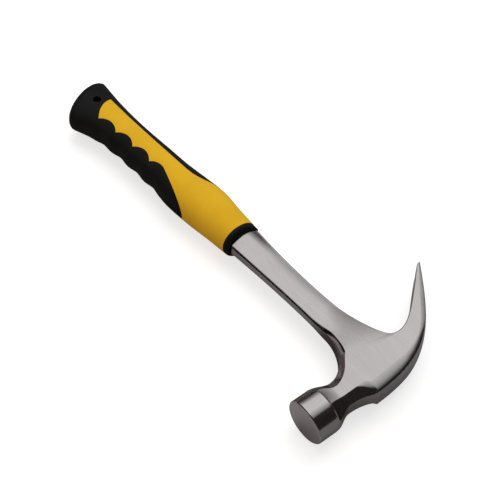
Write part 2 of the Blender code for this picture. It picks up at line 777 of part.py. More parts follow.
def panel_outline(grow=0.0):
    """The yellow area in plan: round the grip's front, back along both sides, scalloped by the fingers."""
    cusps = []
    for index in range(FINGER_COUNT):
        back = FIRST_CUSP + FINGER_PITCH * index
        cusps.append((back, CUSP_OFFSET + CUSP_LEAN * index + CUSP_CURVE * index**2))
    last_back, last_out = cusps[-1]
    palm_clear = -GRIP_STATIONS[0][3] - PANEL_MARGIN
    finger_clear = GRIP_STATIONS[0][2] + PANEL_MARGIN
    line = [(-PANEL_MARGIN, palm_clear), (SPINE_LINE[-1][0], palm_clear)]
    line += reversed(spline((PANEL_REAR_CORNER,) + SPINE_LINE, 3))
    line += arc(PANEL_REAR_CORNER, (last_back, last_out), -PANEL_REAR_BULGE, 8)
    for start, end in zip(reversed(cusps), reversed(cusps[:-1])):
        line += arc(start, end, LOBE_RISE, 8)
    line += arc(cusps[0], PANEL_LINE_START, LOBE_RISE * FIRST_LOBE, 8)
    line.append(PANEL_LINE_END)
    line += [(PANEL_LINE_END[0], finger_clear), (-PANEL_MARGIN, finger_clear)]
    return offset_outline(behind_grip_front(line), grow)


def offset_outline(outline, grow):
    """The outline with each corner pushed out by grow along the mean of its two sides' normals."""
    area = sum(a[0] * b[1] - b[0] * a[1] for a, b in zip(outline, outline[1:] + outline[:1]))
    facing = math.copysign(1.0, area)
    moved = []
    count = len(outline)
    for k, point in enumerate(outline):
        before, here, after = (Vector(p) for p in (outline[k - 1], point, outline[(k + 1) % count]))
        first, second = (here - before).normalized(), (after - here).normalized()
        normal = Vector((first.y + second.y, -first.x - second.x)).normalized()
        moved.append(tuple(here + normal * grow * facing))
    return moved


def hang_hole(name, cutters):
    place = (-GRIP_START - HANG_HOLE_BACK, -HANG_HOLE_OFFSET, 0.0)
    return cylinder(name, HANG_HOLE_DIAMETER / 2, POLL_DIAMETER * 2, place, cutters)


def grip_core(parts, cutters):
    """The rigid sleeve moulded on the tang, with pegs through the tang's holes."""
    obj = add_object("grip_core", core_mesh("grip_core"), parts)
    tang_starts = -GRIP_START + GAP * 2
    tang_ends = -GRIP_START - TANG_LENGTH - GAP
    steps = 8
    rings = [tang_ring(lerp(tang_starts, tang_ends, k / steps), grow=GAP) for k in range(steps + 1)]
    cavity = cutter("tang_cavity", loft("tang_cavity", rings), cutters)
    for index, place in enumerate(tang_hole_centres()):
        peg = cylinder(f"tang_peg_{index}", TANG_HOLE_DIAMETER / 2 - GAP, CHEEK_THICKNESS, place, cutters)
        boolean(cavity, peg, "DIFFERENCE")
    boolean(obj, cavity, "DIFFERENCE")
    boolean(obj, hang_hole("core_hang_hole", cutters), "DIFFERENCE")
    paint(obj, "rigid_core_plastic", CORE_GREY)


def grip_covers(parts, cutters):
    """The yellow sleeve with its side panels, and the black cover of butt, finger side and spine."""
    room = cutter("core_room", core_mesh("core_room", grow=GAP, lead=PANEL_MARGIN), cutters)
    half_height = POLL_DIAMETER
    panel = cutter("panel_area", prism("panel_area", panel_outline(), half_height), cutters)
    opening = cutter("panel_opening", prism("panel_opening", panel_outline(GAP), half_height), cutters)
    sleeve = add_object("grip_sleeve", grip_mesh("grip_sleeve"), parts)
    boolean(sleeve, panel, "INTERSECT")
    boolean(sleeve, room, "DIFFERENCE")
    paint(sleeve, "yellow_plastic", YELLOW)
    cover = add_object("grip_overmould", grip_mesh("grip_overmould"), parts)
    boolean(cover, opening, "DIFFERENCE")
    boolean(cover, room, "DIFFERENCE")
    boolean(cover, hang_hole("cover_hang_hole", cutters), "DIFFERENCE")
    paint(cover, "black_rubber", BLACK)


def front_collar(parts):
    """The rounded ring that closes the grip round the shank."""
    _, _, finger_out, palm_out, thickness = GRIP_STATIONS[0]
    rear_x = -GRIP_START + GAP
    nose = COLLAR_LENGTH - COLLAR_STRAIGHT
    bore = shank_ring((-GRIP_START, -SHANK_FLARE_FRONT), (-GRIP_START, SHANK_FLARE_BACK), grow=GAP)
    bore = [(y, z) for _, y, z in bore]
    middle = (palm_out - finger_out) / 2
    half = (palm_out + finger_out) / 2
    outside = []
    lip = []
    for y, z in bore:
        turn = math.atan2(z / thickness, (y - middle) / half)
        outside.append((middle + half * math.cos(turn), thickness * math.sin(turn)))
        reach = 1 + COLLAR_LIP / math.hypot(y, z)
        lip.append((y * reach, z * reach))
    rings = [[(rear_x, y, z) for y, z in outside]]
    steps = 6
    for step in range(steps + 1):
        turn = math.pi / 2 * step / steps
        x = rear_x + COLLAR_STRAIGHT + nose * math.sin(turn)
        share = math.cos(turn)
        rings.append(
            [(x, lerp(a[0], b[0], share), lerp(a[1], b[1], share)) for a, b in zip(lip, outside)]
        )
    rings.append([(rear_x + COLLAR_LENGTH, y, z) for y, z in bore])
    rings.append([(rear_x, y, z) for y, z in bore])
    obj = add_object("front_collar", loft("front_collar", rings, closed=True), parts)
    paint(obj, "collar_rubber", BLACK)


def stand_on_origin(parts, root):
    """Moves the tool so that the middle of its underside is at the origin."""
    bpy.context.view_layer.update()
    graph = bpy.context.evaluated_depsgraph_get()
    corners = []
    for obj in parts.objects:
        if obj.type == "MESH":
            corners += [Vector(corner) for corner in obj.evaluated_get(graph).bound_box]
    low = Vector([min(c[k] for c in corners) for k in range(3)])
    high = Vector([max(c[k] for c in corners) for k in range(3)])
    root.location = (-(low.x + high.x) / 2, -(low.y + high.y) / 2, -low.z)


def main():
    for obj in list(bpy.data.objects):
        bpy.data.objects.remove(obj, do_unlink=True)
    parts = bpy.data.collections.new("claw_hammer")
    cutters = bpy.data.collections.new("cutters")
    for collection in (parts, cutters):
        bpy.context.scene.collection.children.link(collection)
    forged_head_and_shank(parts, cutters)
    grip_core(parts, cutters)
    grip_covers(parts, cutters)
    front_collar(parts)
    root = add_object("claw_hammer_root", None, parts)
    stand_on_origin(parts, root)
    for obj in list(parts.objects) + list(cutters.objects):
        if obj is not root:
            obj.parent = root


main()
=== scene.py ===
"""The looks of a one-piece forged claw hammer that lies on its side, in metres.

The forging, the two grip covers and the collar are made again with a finer surface. Their sizes are those of
the solids, apart from small ones that the reflections needed. They are drawn in the tool's own frame and then
moved to the model's: +X along the handle to the head, -Y to the striking face and +Y to the claw, zero on the
poll's axis, the shank's axis and the plane of symmetry.
"""

import math

import bmesh
import bpy
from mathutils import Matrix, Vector

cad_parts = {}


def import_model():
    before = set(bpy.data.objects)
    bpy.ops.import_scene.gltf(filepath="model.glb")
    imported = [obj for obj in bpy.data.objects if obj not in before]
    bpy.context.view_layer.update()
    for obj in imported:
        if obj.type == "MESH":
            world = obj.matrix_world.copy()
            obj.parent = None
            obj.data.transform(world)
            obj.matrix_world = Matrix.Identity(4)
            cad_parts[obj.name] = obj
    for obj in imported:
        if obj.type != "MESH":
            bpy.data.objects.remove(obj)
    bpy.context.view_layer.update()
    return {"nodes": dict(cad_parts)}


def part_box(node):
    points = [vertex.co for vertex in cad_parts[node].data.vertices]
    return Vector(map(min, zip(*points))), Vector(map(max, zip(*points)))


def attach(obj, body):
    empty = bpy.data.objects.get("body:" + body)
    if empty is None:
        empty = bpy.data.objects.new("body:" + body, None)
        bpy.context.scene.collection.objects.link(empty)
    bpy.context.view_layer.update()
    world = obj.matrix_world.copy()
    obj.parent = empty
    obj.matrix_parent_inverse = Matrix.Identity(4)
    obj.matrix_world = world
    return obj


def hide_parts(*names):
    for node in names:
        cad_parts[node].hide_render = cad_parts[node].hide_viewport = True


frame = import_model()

# Clearance between neighbouring pieces, inside and along their visible seams
GAP = 0.0003
SEAM = 0.00006

# Striking face, poll and neck
POLL_DIAMETER = 0.0290
FACE_ROUND = 0.0014
FACE_REACH = 0.0566
POLL_LENGTH = 0.0128
SHOULDER_LENGTH = 0.0140
SHOULDER_SIDE_LENGTH = 0.0090
SHOULDER_EDGE = 0.0014
SHOULDER_SWELL = 0.0055
NECK_TOP = 0.0090
NECK_UNDER = 0.0094
NECK_WIDTH = 0.0180
NECK_TOP_FLAT = 0.0096
NECK_UNDER_FLAT = 0.0100
NECK_UPPER_FACET = 0.0052
NECK_LOWER_FACET = 0.0054

# Cheek, crown and claw
CHEEK_THICKNESS = 0.0194
CROWN_RISE = 0.0134
CROWN_FRONT = 0.0115
CROWN_EDGE = 0.0005
CROWN_BAND = 0.0080
CROWN_BAND_DROP = 0.0024
CROWN_BAND_ROUNDNESS = 0.3
CROWN_BAND_END = 0.0036
FACET_EDGE = 0.05
NECK_FACET_SLOPE = 0.85
FACET_RUNOUT = 0.0085
CLAW_REACH = 0.0724
CLAW_DROP = 0.0414
CLAW_SWELL = 0.0010
CLAW_TIP_SLANT = (0.0006, 0.0030)
CLAW_TIP_WIDTH = 0.0220
CLAW_EDGE = 0.0010
CROTCH_BELOW_AXIS = 0.0108
CROTCH_BEHIND_SHANK = 0.0234
SLOT_LENGTH = 0.0400
SLOT_MOUTH = 0.0092
SLOT_ROOT = 0.0024
SLOT_DRAFT = 0.0010

# Shares along the claw's curves: the place that the slot points to, and the place opposite the crotch
SLOT_AIM = 0.72
CROTCH_OPPOSITE = 0.26

# Shares of the claw's reach where its sides have spread and its rounded band is narrowest, and the share of
# the way back to the crotch where its swell is full
CLAW_SPREAD_END = 0.7
CROWN_BAND_NARROWEST = 0.6
CLAW_SWELL_FULL = 0.6

# Largest shares of half a claw section that its rounded band, its inner edge and its swell take
BAND_LIMIT = 0.9
EDGE_LIMIT = 0.4
SWELL_LIMIT = 0.2

# Shank
SHANK_THICKNESS = 0.0080
SHANK_CROWN = 0.0008
SHANK_FRONT = 0.0075
SHANK_FLARE_FRONT = 0.0118
SHANK_FLARE_BACK = 0.0109
SHANK_FLARE_THICKNESS = 0.0090
SHANK_FLARE_CROWN = 0.0036
SHANK_FLARE_LENGTH = 0.0380
SHANK_EDGE_BEVEL = 0.0019
SHANK_EDGE_DEPTH = 0.0015
SHANK_EDGE_ROUNDNESS = 0.25
SHANK_BACK_BEVEL = 0.0010
SHANK_BACK_DEPTH = 0.0008

# Fillet from the neck's underside to the shank's front, and the turns in degrees where its two halves meet
# and where it ends
FILLET_LENGTH = 0.0286
FILLET_SQUARENESS = 1.8
FILLET_CUT = 0.0046
FILLET_DEPTH = 0.0060
FILLET_ROUNDNESS = 0.2
FILLET_WIDENING = 3.0
FILLET_SEAM = 45
FILLET_END = 90

# Distances below the poll's axis: where the fillet's bevel begins to grow, where the shank begins to thicken,
# where it is as thick as the cheek, and from where on its sections stand square to its axis
FILLET_FROM_AXIS = 0.0450
THIN_FROM_AXIS = 0.0540
THICK_FROM_AXIS = 0.0150
SQUARE_FROM_AXIS = 0.0690

# How hollow the neck's top is, and how its upper facets run out
NECK_HOLLOW = 2.2
FACET_HOLLOW = 1.2

# Handles of the curves in plan, each from the curve's own end point
CLAW_OUTER_HANDLES = ((-0.0010, 0.0402), (0.0425, -0.0297))
CLAW_INNER_HANDLES = ((0.0020, 0.0106), (0.0215, -0.0254))
SHANK_BACK_HANDLES = ((0.0390, -0.0028), (-0.0032, -0.0149))
SHANK_FRONT_HANDLES = ((0.0632, 0.0046), (-0.0223, -0.0004))

# Tang inside the grip
GRIP_START = 0.1340
TANG_SHOULDER = 0.0035
TANG_LENGTH = 0.1360
TANG_WIDTH = 0.0155
TANG_END_WIDTH = 0.0120
TANG_THICKNESS = 0.0064
TANG_OFFSET = 0.0012
TANG_DROP = 0.0055
TANG_HOLE_DIAMETER = 0.0070
TANG_HOLE_COUNT = 3
TANG_HOLE_FIRST = 0.0320
TANG_HOLE_PITCH = 0.0380

# Grip form: distance behind its front end at the finger side and at the palm side, then how far the finger
# side and the palm side lie from the shank's axis, and the half thickness
GRIP_STATIONS = (
    (0.0000, 0.0000, 0.0147, 0.0121, 0.0127),
    (0.0160, 0.0160, 0.0165, 0.0131, 0.0130),
    (0.0350, 0.0340, 0.0191, 0.0146, 0.0135),
    (0.0560, 0.0520, 0.0207, 0.0129, 0.0134),
    (0.0710, 0.0710, 0.0200, 0.0106, 0.0129),
    (0.0920, 0.0920, 0.0205, 0.0094, 0.0126),
    (0.1160, 0.1180, 0.0217, 0.0078, 0.0126),
    (0.1310, 0.1380, 0.0235, 0.0075, 0.0128),
    (0.1460, 0.1560, 0.0262, 0.0080, 0.0135),
    (0.1590, 0.1770, 0.0312, 0.0097, 0.0145),
)
BUTT_DOME = 0.0086
BUTT_SQUARENESS = 2.3
BUTT_RING_HEIGHTS = (0.22, 0.45, 0.65, 0.81, 0.92, 0.985)
SECTION_SQUARENESS = 2.1
COVER_THICKNESS = 0.0042
CORE_END_TAPER = 0.8

# Finger scoops: how far round the grip they reach, in degrees, and the shares of that where they fade
FINGER_PITCH = 0.0190
FINGER_COUNT = 4
SCOOP_DEPTH = 0.0011
SCOOP_REACH = 78.0
SCOOP_FADE = (0.6, 1.15)

# The line where the two colours meet: distances behind the grip's front end and to the finger side
FIRST_CUSP = 0.0860
CUSP_OFFSET = 0.0131
CUSP_LEAN = 0.0008
CUSP_CURVE = 0.00023
LOBE_RISE = 0.0039
FIRST_LOBE_SHARE = 0.55
PANEL_LINE_START = (0.0720, 0.0098)
PANEL_LINE_END = (0.0300, 0.0222)
PANEL_REAR_CORNER = (0.1540, 0.0000)
PANEL_REAR_BULGE = 0.0021
SPINE_LINE = (
    (0.1120, -0.0011),
    (0.0780, -0.0022),
    (0.0600, -0.0028),
    (0.0500, -0.0055),
    (0.0420, -0.0100),
    (0.0250, -0.0175),
)
PANEL_MARGIN = 0.0100

# Hang hole and front collar
HANG_HOLE_DIAMETER = 0.0060
HANG_HOLE_BACK = 0.1582
HANG_HOLE_OFFSET = 0.0088
COLLAR_LENGTH = 0.0038
COLLAR_STRAIGHT = 0.0012
COLLAR_LIP = 0.0006

# How finely round shapes are divided
FLAT_CELLS = 5
EDGE_CELLS = 14
FACET_CELLS = 6
HEAD_SIDE_CELLS = 16
BODY_CELLS = 24
FACE_RINGS = 10
POLL_RINGS = 6
SHOULDER_RINGS = 30
NECK_RINGS = 26
CLAW_RINGS = 64
FILLET_RINGS = 20
SHANK_RINGS = 30
FLARE_RINGS = 24
TANG_RINGS = 8
SLOT_ROOT_CELLS = 6
GRIP_SIDES = 96
STATION_STEPS = 14
CORE_SIDES = 24
CORE_STEPS = 2
SPINE_STEPS = 8
ARC_STEPS = 16
HOLE_SIDES = 48
COLLAR_RINGS = 14
WALL_STEPS = 48
BISECTIONS = 40

# How much the rings crowd together towards the crown and towards the claw's tips
NECK_CROWDING = 1.3
CLAW_CROWDING = 1.15

# A round section has eight parts. Part of one becomes the thin band next to the neck's upper facet.
EIGHTH_TURN = 45.0
BAND_TURN = 3.0

# Angle from which an edge is sharp, and the bevel on the sharp edges of the forging
SHARP_ANGLE = math.radians(30)
FORGED_EDGE = 0.00025
BEVEL_SEGMENTS = 2

# Steel: colours, roughness, and one roughness for viewers that leave out the lines, then cells per metre of
# the grinding lines, first on the shank and the head and then on the poll, and of a cloudy pattern
STEEL_DARK = (0.475, 0.455, 0.450)
STEEL_LIGHT = (0.575, 0.553, 0.548)
STEEL_ROUGHNESS = (0.13, 0.20)
STEEL_PLAIN_ROUGHNESS = 0.26
FINE_LINES = ((50.0, 1700.0, 1700.0), (1700.0, 50.0, 1700.0))
BROAD_LINES = ((18.0, 260.0, 260.0), (420.0, 25.0, 420.0))
STEEL_CLOUD = (55.0, 55.0, 55.0)
STEEL_BUMP = 0.015
STEEL_BUMP_DEPTH = 0.00003

# Mouldings: darkest and lightest colour, least and greatest roughness, gloss, strength of the fine texture
YELLOW_PLASTIC = ((0.67, 0.385, 0.011), (0.73, 0.425, 0.016), (0.45, 0.55), 0.15, 0.12)
BLACK_RUBBER = ((0.004, 0.004, 0.004), (0.007, 0.007, 0.007), (0.50, 0.62), 0.15, 0.20)
COLLAR_RUBBER = ((0.004, 0.004, 0.004), (0.007, 0.007, 0.007), (0.45, 0.60), 0.15, 0.20)
CORE_PLASTIC = ((0.04, 0.04, 0.045), (0.06, 0.06, 0.065), (0.50, 0.60), 0.40, 0.10)
MOULD_CLOUD = (45.0, 45.0, 45.0)
MOULD_TEXTURE = (1800.0, 1800.0, 1800.0)
MOULD_TEXTURE_DETAIL = 2.0
MOULD_TEXTURE_DEPTH = 0.0002

# Middle range of a noise, which is spread between the two values that it mixes
NOISE_LOW = 0.3
NOISE_HIGH = 0.7

# Floor and world: grey and weak where they light the object, pale where the camera or a mirror sees them
FLOOR_REACH = 4.0
FLOOR_GAP = 0.0002
FLOOR_GREY = (0.35, 0.35, 0.35)
FLOOR_PALE = (0.50, 0.50, 0.50)
FLOOR_GLOW = 0.66
WORLD_FILL = 0.4
WORLD_WHITE = 0.95
WHITE = (1.0, 1.0, 1.0)

# Softboxes: name, direction from the object, size, power in watts and colour, and the distance of both
SOFTBOXES = (
    ("overhead_softbox", (-0.30, 0.42, 0.85), 1.6, 18.0, WHITE),
    ("front_fill", (-0.10, -0.85, 0.40), 1.0, 4.2, (1.0, 0.68, 0.40)),
)
SOFTBOX_DISTANCE = 1.5

# Curved cards that the steel mirrors: name, radius, bottom, top, first and last angle in degrees from +X,
# colour, and the heights up to which the card is solid and from which it has faded away
FLAG_BLACK = (0.034, 0.030, 0.030)
WALL_CARDS = (
    ("left_wall", 0.75, 0.0, 0.90, 145, 205, (0.09, 0.09, 0.09), 0.24, 0.76),
    ("back_wall", 0.75, 0.0, 1.00, 65, 145, (0.22, 0.21, 0.205), 0.12, 0.95),
    ("dark_flag", 0.68, 0.0, 1.15, -75, 70, FLAG_BLACK, 0.60, 1.00),
    ("low_flag", 0.68, 0.0, 0.65, -155, -75, (0.01, 0.01, 0.01), 0.54, 0.64),
)

# Level cards above and under the object: name, low corner, high corner, height, colour, and the places along
# X up to which the card is solid and from which it has faded away
TABLE_GREY = (0.34, 0.325, 0.34)
LEVEL_CARDS = (
    ("dark_ceiling", (0.0, -1.0), (1.4, 1.6), 1.0, FLAG_BLACK, 0.80, 0.10),
    ("dark_table_card", (-0.7, -0.7), (0.7, 0.7), 0.0, (0.24, 0.23, 0.24), 1.0, 2.0),
    ("face_table_card", (-0.7, -0.7), (0.18, -0.0648), 0.0001, TABLE_GREY, 1.0, 2.0),
    ("shank_table_card", (-0.7, -0.0310), (0.11, -0.0155), 0.0003, TABLE_GREY, 0.088, 0.104),
    # A darker sheet under the fillet and neck that only the steel mirrors: painted shade for the floor's
    # contact shadow there
    ("fillet_table_card", (-0.05, -0.0648), (0.14, -0.0060), 0.0002, (0.11, 0.095, 0.095), 1.0, 2.0),
)

# Camera: sensor and lens in millimetres, angles round and above the object in degrees, distance, target
SENSOR_WIDTH = 36.0
LENS = 77.18
CAMERA_ANGLES = (52.192, 50.137)
CAMERA_DISTANCE = 0.700
CAMERA_TARGET = (-0.12184, -0.001486, 0.0)

POLL_RADIUS = POLL_DIAMETER / 2
SHOULDER_Y = POLL_LENGTH - FACE_REACH
WAIST_Y = SHOULDER_Y + SHOULDER_LENGTH
CHEEK_HALF = CHEEK_THICKNESS / 2
FILLET_CENTRE = (-NECK_UNDER - FILLET_LENGTH, WAIST_Y)
FILLET_RISE = -WAIST_Y - SHANK_FRONT
CROTCH = (-CROTCH_BELOW_AXIS, CROTCH_BEHIND_SHANK)
CLAW_TIP = (-CLAW_DROP, CLAW_REACH)

# The way from the tool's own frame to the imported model's
head_low, head_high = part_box("forged_head_and_shank")
SHIFT = Vector((head_high.x - POLL_RADIUS, head_low.y + FACE_REACH, POLL_RADIUS))


def lerp(start, end, share):
    return start + (end - start) * share


def shares_of(count):
    """The shares 1 / count, 2 / count and so on up to 1."""
    return [step / count for step in range(1, count + 1)]


def smooth(value, start, end):
    """0 before start, 1 after end and an S-curve between them."""
    share = min(max((value - start) / (end - start), 0.0), 1.0)
    return share * share * (3 - 2 * share)


def bezier(points, share):
    """A point in plan on the cubic curve with these four control points."""
    a, b, c, d = (Vector(p) for p in points)
    rest = 1 - share
    return a * rest**3 + b * 3 * rest**2 * share + c * 3 * rest * share**2 + d * share**3


def bezier_at_x(points, x):
    """The point with this X on a curve whose X only grows."""
    low, high = 0.0, 1.0
    for _ in range(BISECTIONS):
        middle = (low + high) / 2
        if bezier(points, middle).x < x:
            low = middle
        else:
            high = middle
    return bezier(points, low)


def spline(rows, steps):
    """Rows of numbers with `steps` smooth rows from each to the next, passing through all of them."""
    last = len(rows) - 1
    found = []
    for index in range(last):
        before, here, after, beyond = (rows[min(max(index + k, 0), last)] for k in (-1, 0, 1, 2))
        for step in range(steps):
            t = step / steps
            row = []
            for a, b, c, d in zip(before, here, after, beyond):
                bend = 2 * a - 5 * b + 4 * c - d
                twist = 3 * b - a - 3 * c + d
                row.append(0.5 * (2 * b + (c - a) * t + bend * t**2 + twist * t**3))
            found.append(tuple(row))
    return found + [rows[last]]


def bridge(work, ring, following, skip=()):
    """Quads between two rings of as many vertices."""
    count = len(ring)
    for k in range(count):
        if k not in skip:
            after = (k + 1) % count
            work.faces.new((ring[k], ring[after], following[after], following[k]))


def loft(name, rings, closed=False):
    """A solid through rings of points: capped at its two ends, or joined end to start like a tyre."""
    work = bmesh.new()
    loops = [[work.verts.new(point) for point in ring] for ring in rings]
    for ring, following in zip(loops, loops[1:]):
        bridge(work, ring, following)
    if closed:
        bridge(work, loops[-1], loops[0])
    else:
        work.faces.new(loops[0])
        work.faces.new(loops[-1])
    return finished_mesh(name, work)


def prism(name, outline, half_height):
    """A plan outline drawn straight through, above and below the plane of symmetry."""
    return loft(name, [[(x, y, z) for x, y in outline] for z in (-half_height, half_height)])


def edge_points(start, end, roundness, cells):
    """Points (height, z) after start, straight to end or bowed out like a quarter of an ellipse."""
    points = []
    for share in shares_of(cells):
        turn = share * math.pi / 2
        straight = (lerp(start[0], end[0], share), lerp(start[1], end[1], share))
        rounded = (lerp(start[0], end[0], 1 - math.cos(turn)), lerp(start[1], end[1], math.sin(turn)))
        points.append(tuple(lerp(s, r, roundness) for s, r in zip(straight, rounded)))
    return points


def forged_half(half, first, side, second, side_cells, facet=None, crown=0.0, swell=0.0):
    """Points (height, z) of a flat-sided section. first and second are (half flat, cut along, roundness).

    facet is (cut along, half width) of a straight facet that comes before the first rounded edge,
    crown is how much the side bulges in its middle, swell how much the first flat does.
    """
    points = []
    for index, (flat, cut, roundness) in enumerate((first, second)):
        bulge = swell if index == 0 else 0.0
        corner = [(half + bulge * (1 - share**2), flat * share) for share in [0.0] + shares_of(FLAT_CELLS)]
        rounded_cells = EDGE_CELLS
        if index == 0 and facet:
            corner += edge_points(corner[-1], (half - facet[0], facet[1]), 0.0, FACET_CELLS)
            rounded_cells -= FACET_CELLS
        corner += edge_points(corner[-1], (half - cut, side), roundness, rounded_cells)
        if index == 0:
            points += corner
        else:
            start, end = points[-1][0], -corner[-1][0]
            for share in shares_of(side_cells)[:-1]:
                points.append((lerp(start, end, share), side + crown * 4 * share * (1 - share)))
            points += [(-height, z) for height, z in reversed(corner)]
    return points


def round_half(half, width):
    """Points (height, z) of a round section, divided like a flat-sided one."""
    spans = (
        (EIGHTH_TURN / 2, FLAT_CELLS),
        (EIGHTH_TURN - BAND_TURN, FACET_CELLS),
        (BAND_TURN, EDGE_CELLS - FACET_CELLS),
        (EIGHTH_TURN, HEAD_SIDE_CELLS),
        (EIGHTH_TURN, EDGE_CELLS),
        (EIGHTH_TURN / 2, FLAT_CELLS),
    )
    turns = [0.0]
    for span, cells in spans:
        start = turns[-1]
        turns += [start + span * k / cells for k in range(1, cells + 1)]
    return [(half * math.cos(math.radians(a)), width * math.sin(math.radians(a))) for a in turns]


def whole_ring(first, second, half_section):
    """The closed ring of a half section that lies between two points in plan, its top at the first."""
    first, second = Vector(first), Vector(second)
    middle = (first + second) / 2
    along = (first - second).normalized()
    upper = []
    for height, z in half_section:
        point = middle + along * height
        upper.append((point.x, point.y, z))
    lower = [(x, y, -z) for x, y, z in upper[-2:0:-1]]
    return upper + lower


def half_length(first, second):
    """Half the distance between two points in plan."""
    return (Vector(first) - Vector(second)).length / 2


def curve(start, end, handles):
    """Control points of a cubic curve in plan."""
    first, second = ((p[0] + h[0], p[1] + h[1]) for p, h in zip((start, end), handles))
    return (start, first, second, end)


CLAW_INNER_TIP = (CLAW_TIP[0] + CLAW_TIP_SLANT[0], CLAW_TIP[1] - CLAW_TIP_SLANT[1])
CLAW_OUTER = curve((CROWN_RISE, -CROWN_FRONT), CLAW_TIP, CLAW_OUTER_HANDLES)
CLAW_INNER = curve(CROTCH, CLAW_INNER_TIP, CLAW_INNER_HANDLES)
SHANK_BACK = curve((-GRIP_START, SHANK_FLARE_BACK), CROTCH, SHANK_BACK_HANDLES)
SHANK_FRONT_LINE = curve(
    (-GRIP_START, -SHANK_FLARE_FRONT), (FILLET_CENTRE[0], -SHANK_FRONT), SHANK_FRONT_HANDLES
)


def fillet(turn):
    """The hollow between neck and shank: 0 degrees on the neck's underside, 90 on the shank's front."""
    angle = math.radians(turn)
    power = 2 / FILLET_SQUARENESS
    along, across = (abs(part) ** power for part in (math.cos(angle), math.sin(angle)))
    return Vector((FILLET_CENTRE[0] + FILLET_LENGTH * along, FILLET_CENTRE[1] + FILLET_RISE * across))


def neck_top(y):
    """The neck's upper outline, hollow from its waist up to the crown's front corner."""
    share = max((y - WAIST_Y) / (-CROWN_FRONT - WAIST_Y), 0.0)
    return Vector((lerp(NECK_TOP, CROWN_RISE, share**NECK_HOLLOW), y))


def head_half_thickness(y):
    """Half the thickness of the flat sides: neck, cheek, then the claw spreading to its tips."""
    to_poll = max((WAIST_Y - y) / SHOULDER_LENGTH, 0.0)
    neck = NECK_WIDTH / 2 + SHOULDER_SWELL * to_poll**2
    neck_to_cheek = lerp(neck, CHEEK_HALF, smooth(y, WAIST_Y, -CROWN_FRONT))
    return lerp(neck_to_cheek, CLAW_TIP_WIDTH / 2, smooth(y, -CROWN_FRONT, CLAW_TIP[1] * CLAW_SPREAD_END))


def shank_half_thickness(x):
    """Half the thickness of the shank: thin in the middle, thicker to the head and at the grip."""
    thin = lerp(SHANK_THICKNESS / 2, SHANK_FLARE_THICKNESS / 2, nearness_to_grip(x))
    return lerp(thin, CHEEK_HALF, nearness_to_head(x))


def nearness_to_head(x):
    """0 along the thin shank, 1 where it is as thick as the cheek."""
    return smooth(x, -THIN_FROM_AXIS, -THICK_FROM_AXIS)


def nearness_to_grip(x):
    """0 along the thin shank, 1 where it enters the collar."""
    collar_front = GRIP_START - COLLAR_LENGTH
    return smooth(-x, collar_front - SHANK_FLARE_LENGTH, collar_front)


def poll_rings():
    """The turned poll, then the shoulder where it becomes the eight-sided neck."""
    profile = []
    for step in range(FACE_RINGS + 1):
        angle = math.pi / 2 * step / FACE_RINGS
        y = -FACE_REACH + FACE_ROUND * (1 - math.cos(angle))
        profile.append((y, POLL_RADIUS - FACE_ROUND * (1 - math.sin(angle))))
    for share in shares_of(POLL_RINGS):
        profile.append((lerp(FACE_ROUND - FACE_REACH, SHOULDER_Y, share), POLL_RADIUS))
    rings = [whole_ring((radius, y), (-radius, y), round_half(radius, radius)) for y, radius in profile]
    for share in shares_of(SHOULDER_RINGS):
        y = lerp(SHOULDER_Y, WAIST_Y, share)
        drop = smooth(y, SHOULDER_Y, WAIST_Y)
        hollow = (y - SHOULDER_Y - SHOULDER_EDGE) / SHOULDER_SIDE_LENGTH
        hollow = min(max(hollow, 0.0), 1.0)
        narrowing = math.sqrt(1 - (1 - hollow) ** 2)
        top = (lerp(POLL_RADIUS, NECK_TOP, drop), y)
        under = (-lerp(POLL_RADIUS, NECK_UNDER, drop), y)
        half = half_length(top, under)
        turned = round_half(half, lerp(POLL_RADIUS, NECK_WIDTH / 2, narrowing))
        faceted = neck_half(half, top)
        section = [tuple(lerp(t, f, narrowing) for t, f in zip(*pair)) for pair in zip(turned, faceted)]
        rings.append(whole_ring(top, under, section))
    return rings


def neck_half(half, top):
    """The eight-sided neck section, whose upper facets run out where the crown's rounded edge begins."""
    height, y = top
    side = head_half_thickness(y)
    runout = min(max((y + CROWN_FRONT + FACET_RUNOUT) / FACET_RUNOUT, 0.0), 1.0) ** FACET_HOLLOW
    growth = smooth(y, -CROWN_FRONT - FACET_RUNOUT, -CROWN_FRONT)
    swell = smooth(y, WAIST_Y, -CROWN_FRONT)
    band = lerp(FACET_EDGE, 1.0, growth)
    drop = CROWN_BAND_DROP * band
    facet = (lerp(NECK_UPPER_FACET + height - NECK_TOP, CROWN_EDGE, runout), side - drop)
    upper = (
        max(NECK_TOP_FLAT / 2, facet[1] - facet[0] * NECK_FACET_SLOPE),
        facet[0] + (CROWN_BAND - CROWN_EDGE) * band,
        CROWN_BAND_ROUNDNESS,
    )
    lower = (
        lerp(NECK_UNDER_FLAT / 2, side - FILLET_DEPTH, swell),
        lerp(NECK_LOWER_FACET, FILLET_CUT, swell),
        FILLET_ROUNDNESS * swell,
    )
    return forged_half(half, upper, side, lower, HEAD_SIDE_CELLS, facet)


def neck_rings():
    """From the waist to the line between the crown's front corner and the middle of the front fillet."""
    rings = []
    for share in shares_of(NECK_RINGS):
        top = neck_top(lerp(WAIST_Y, -CROWN_FRONT, 1 - (1 - share) ** NECK_CROWDING))
        under = fillet(FILLET_SEAM * share)
        rings.append(whole_ring(top, under, neck_half(half_length(top, under), top)))
    return rings


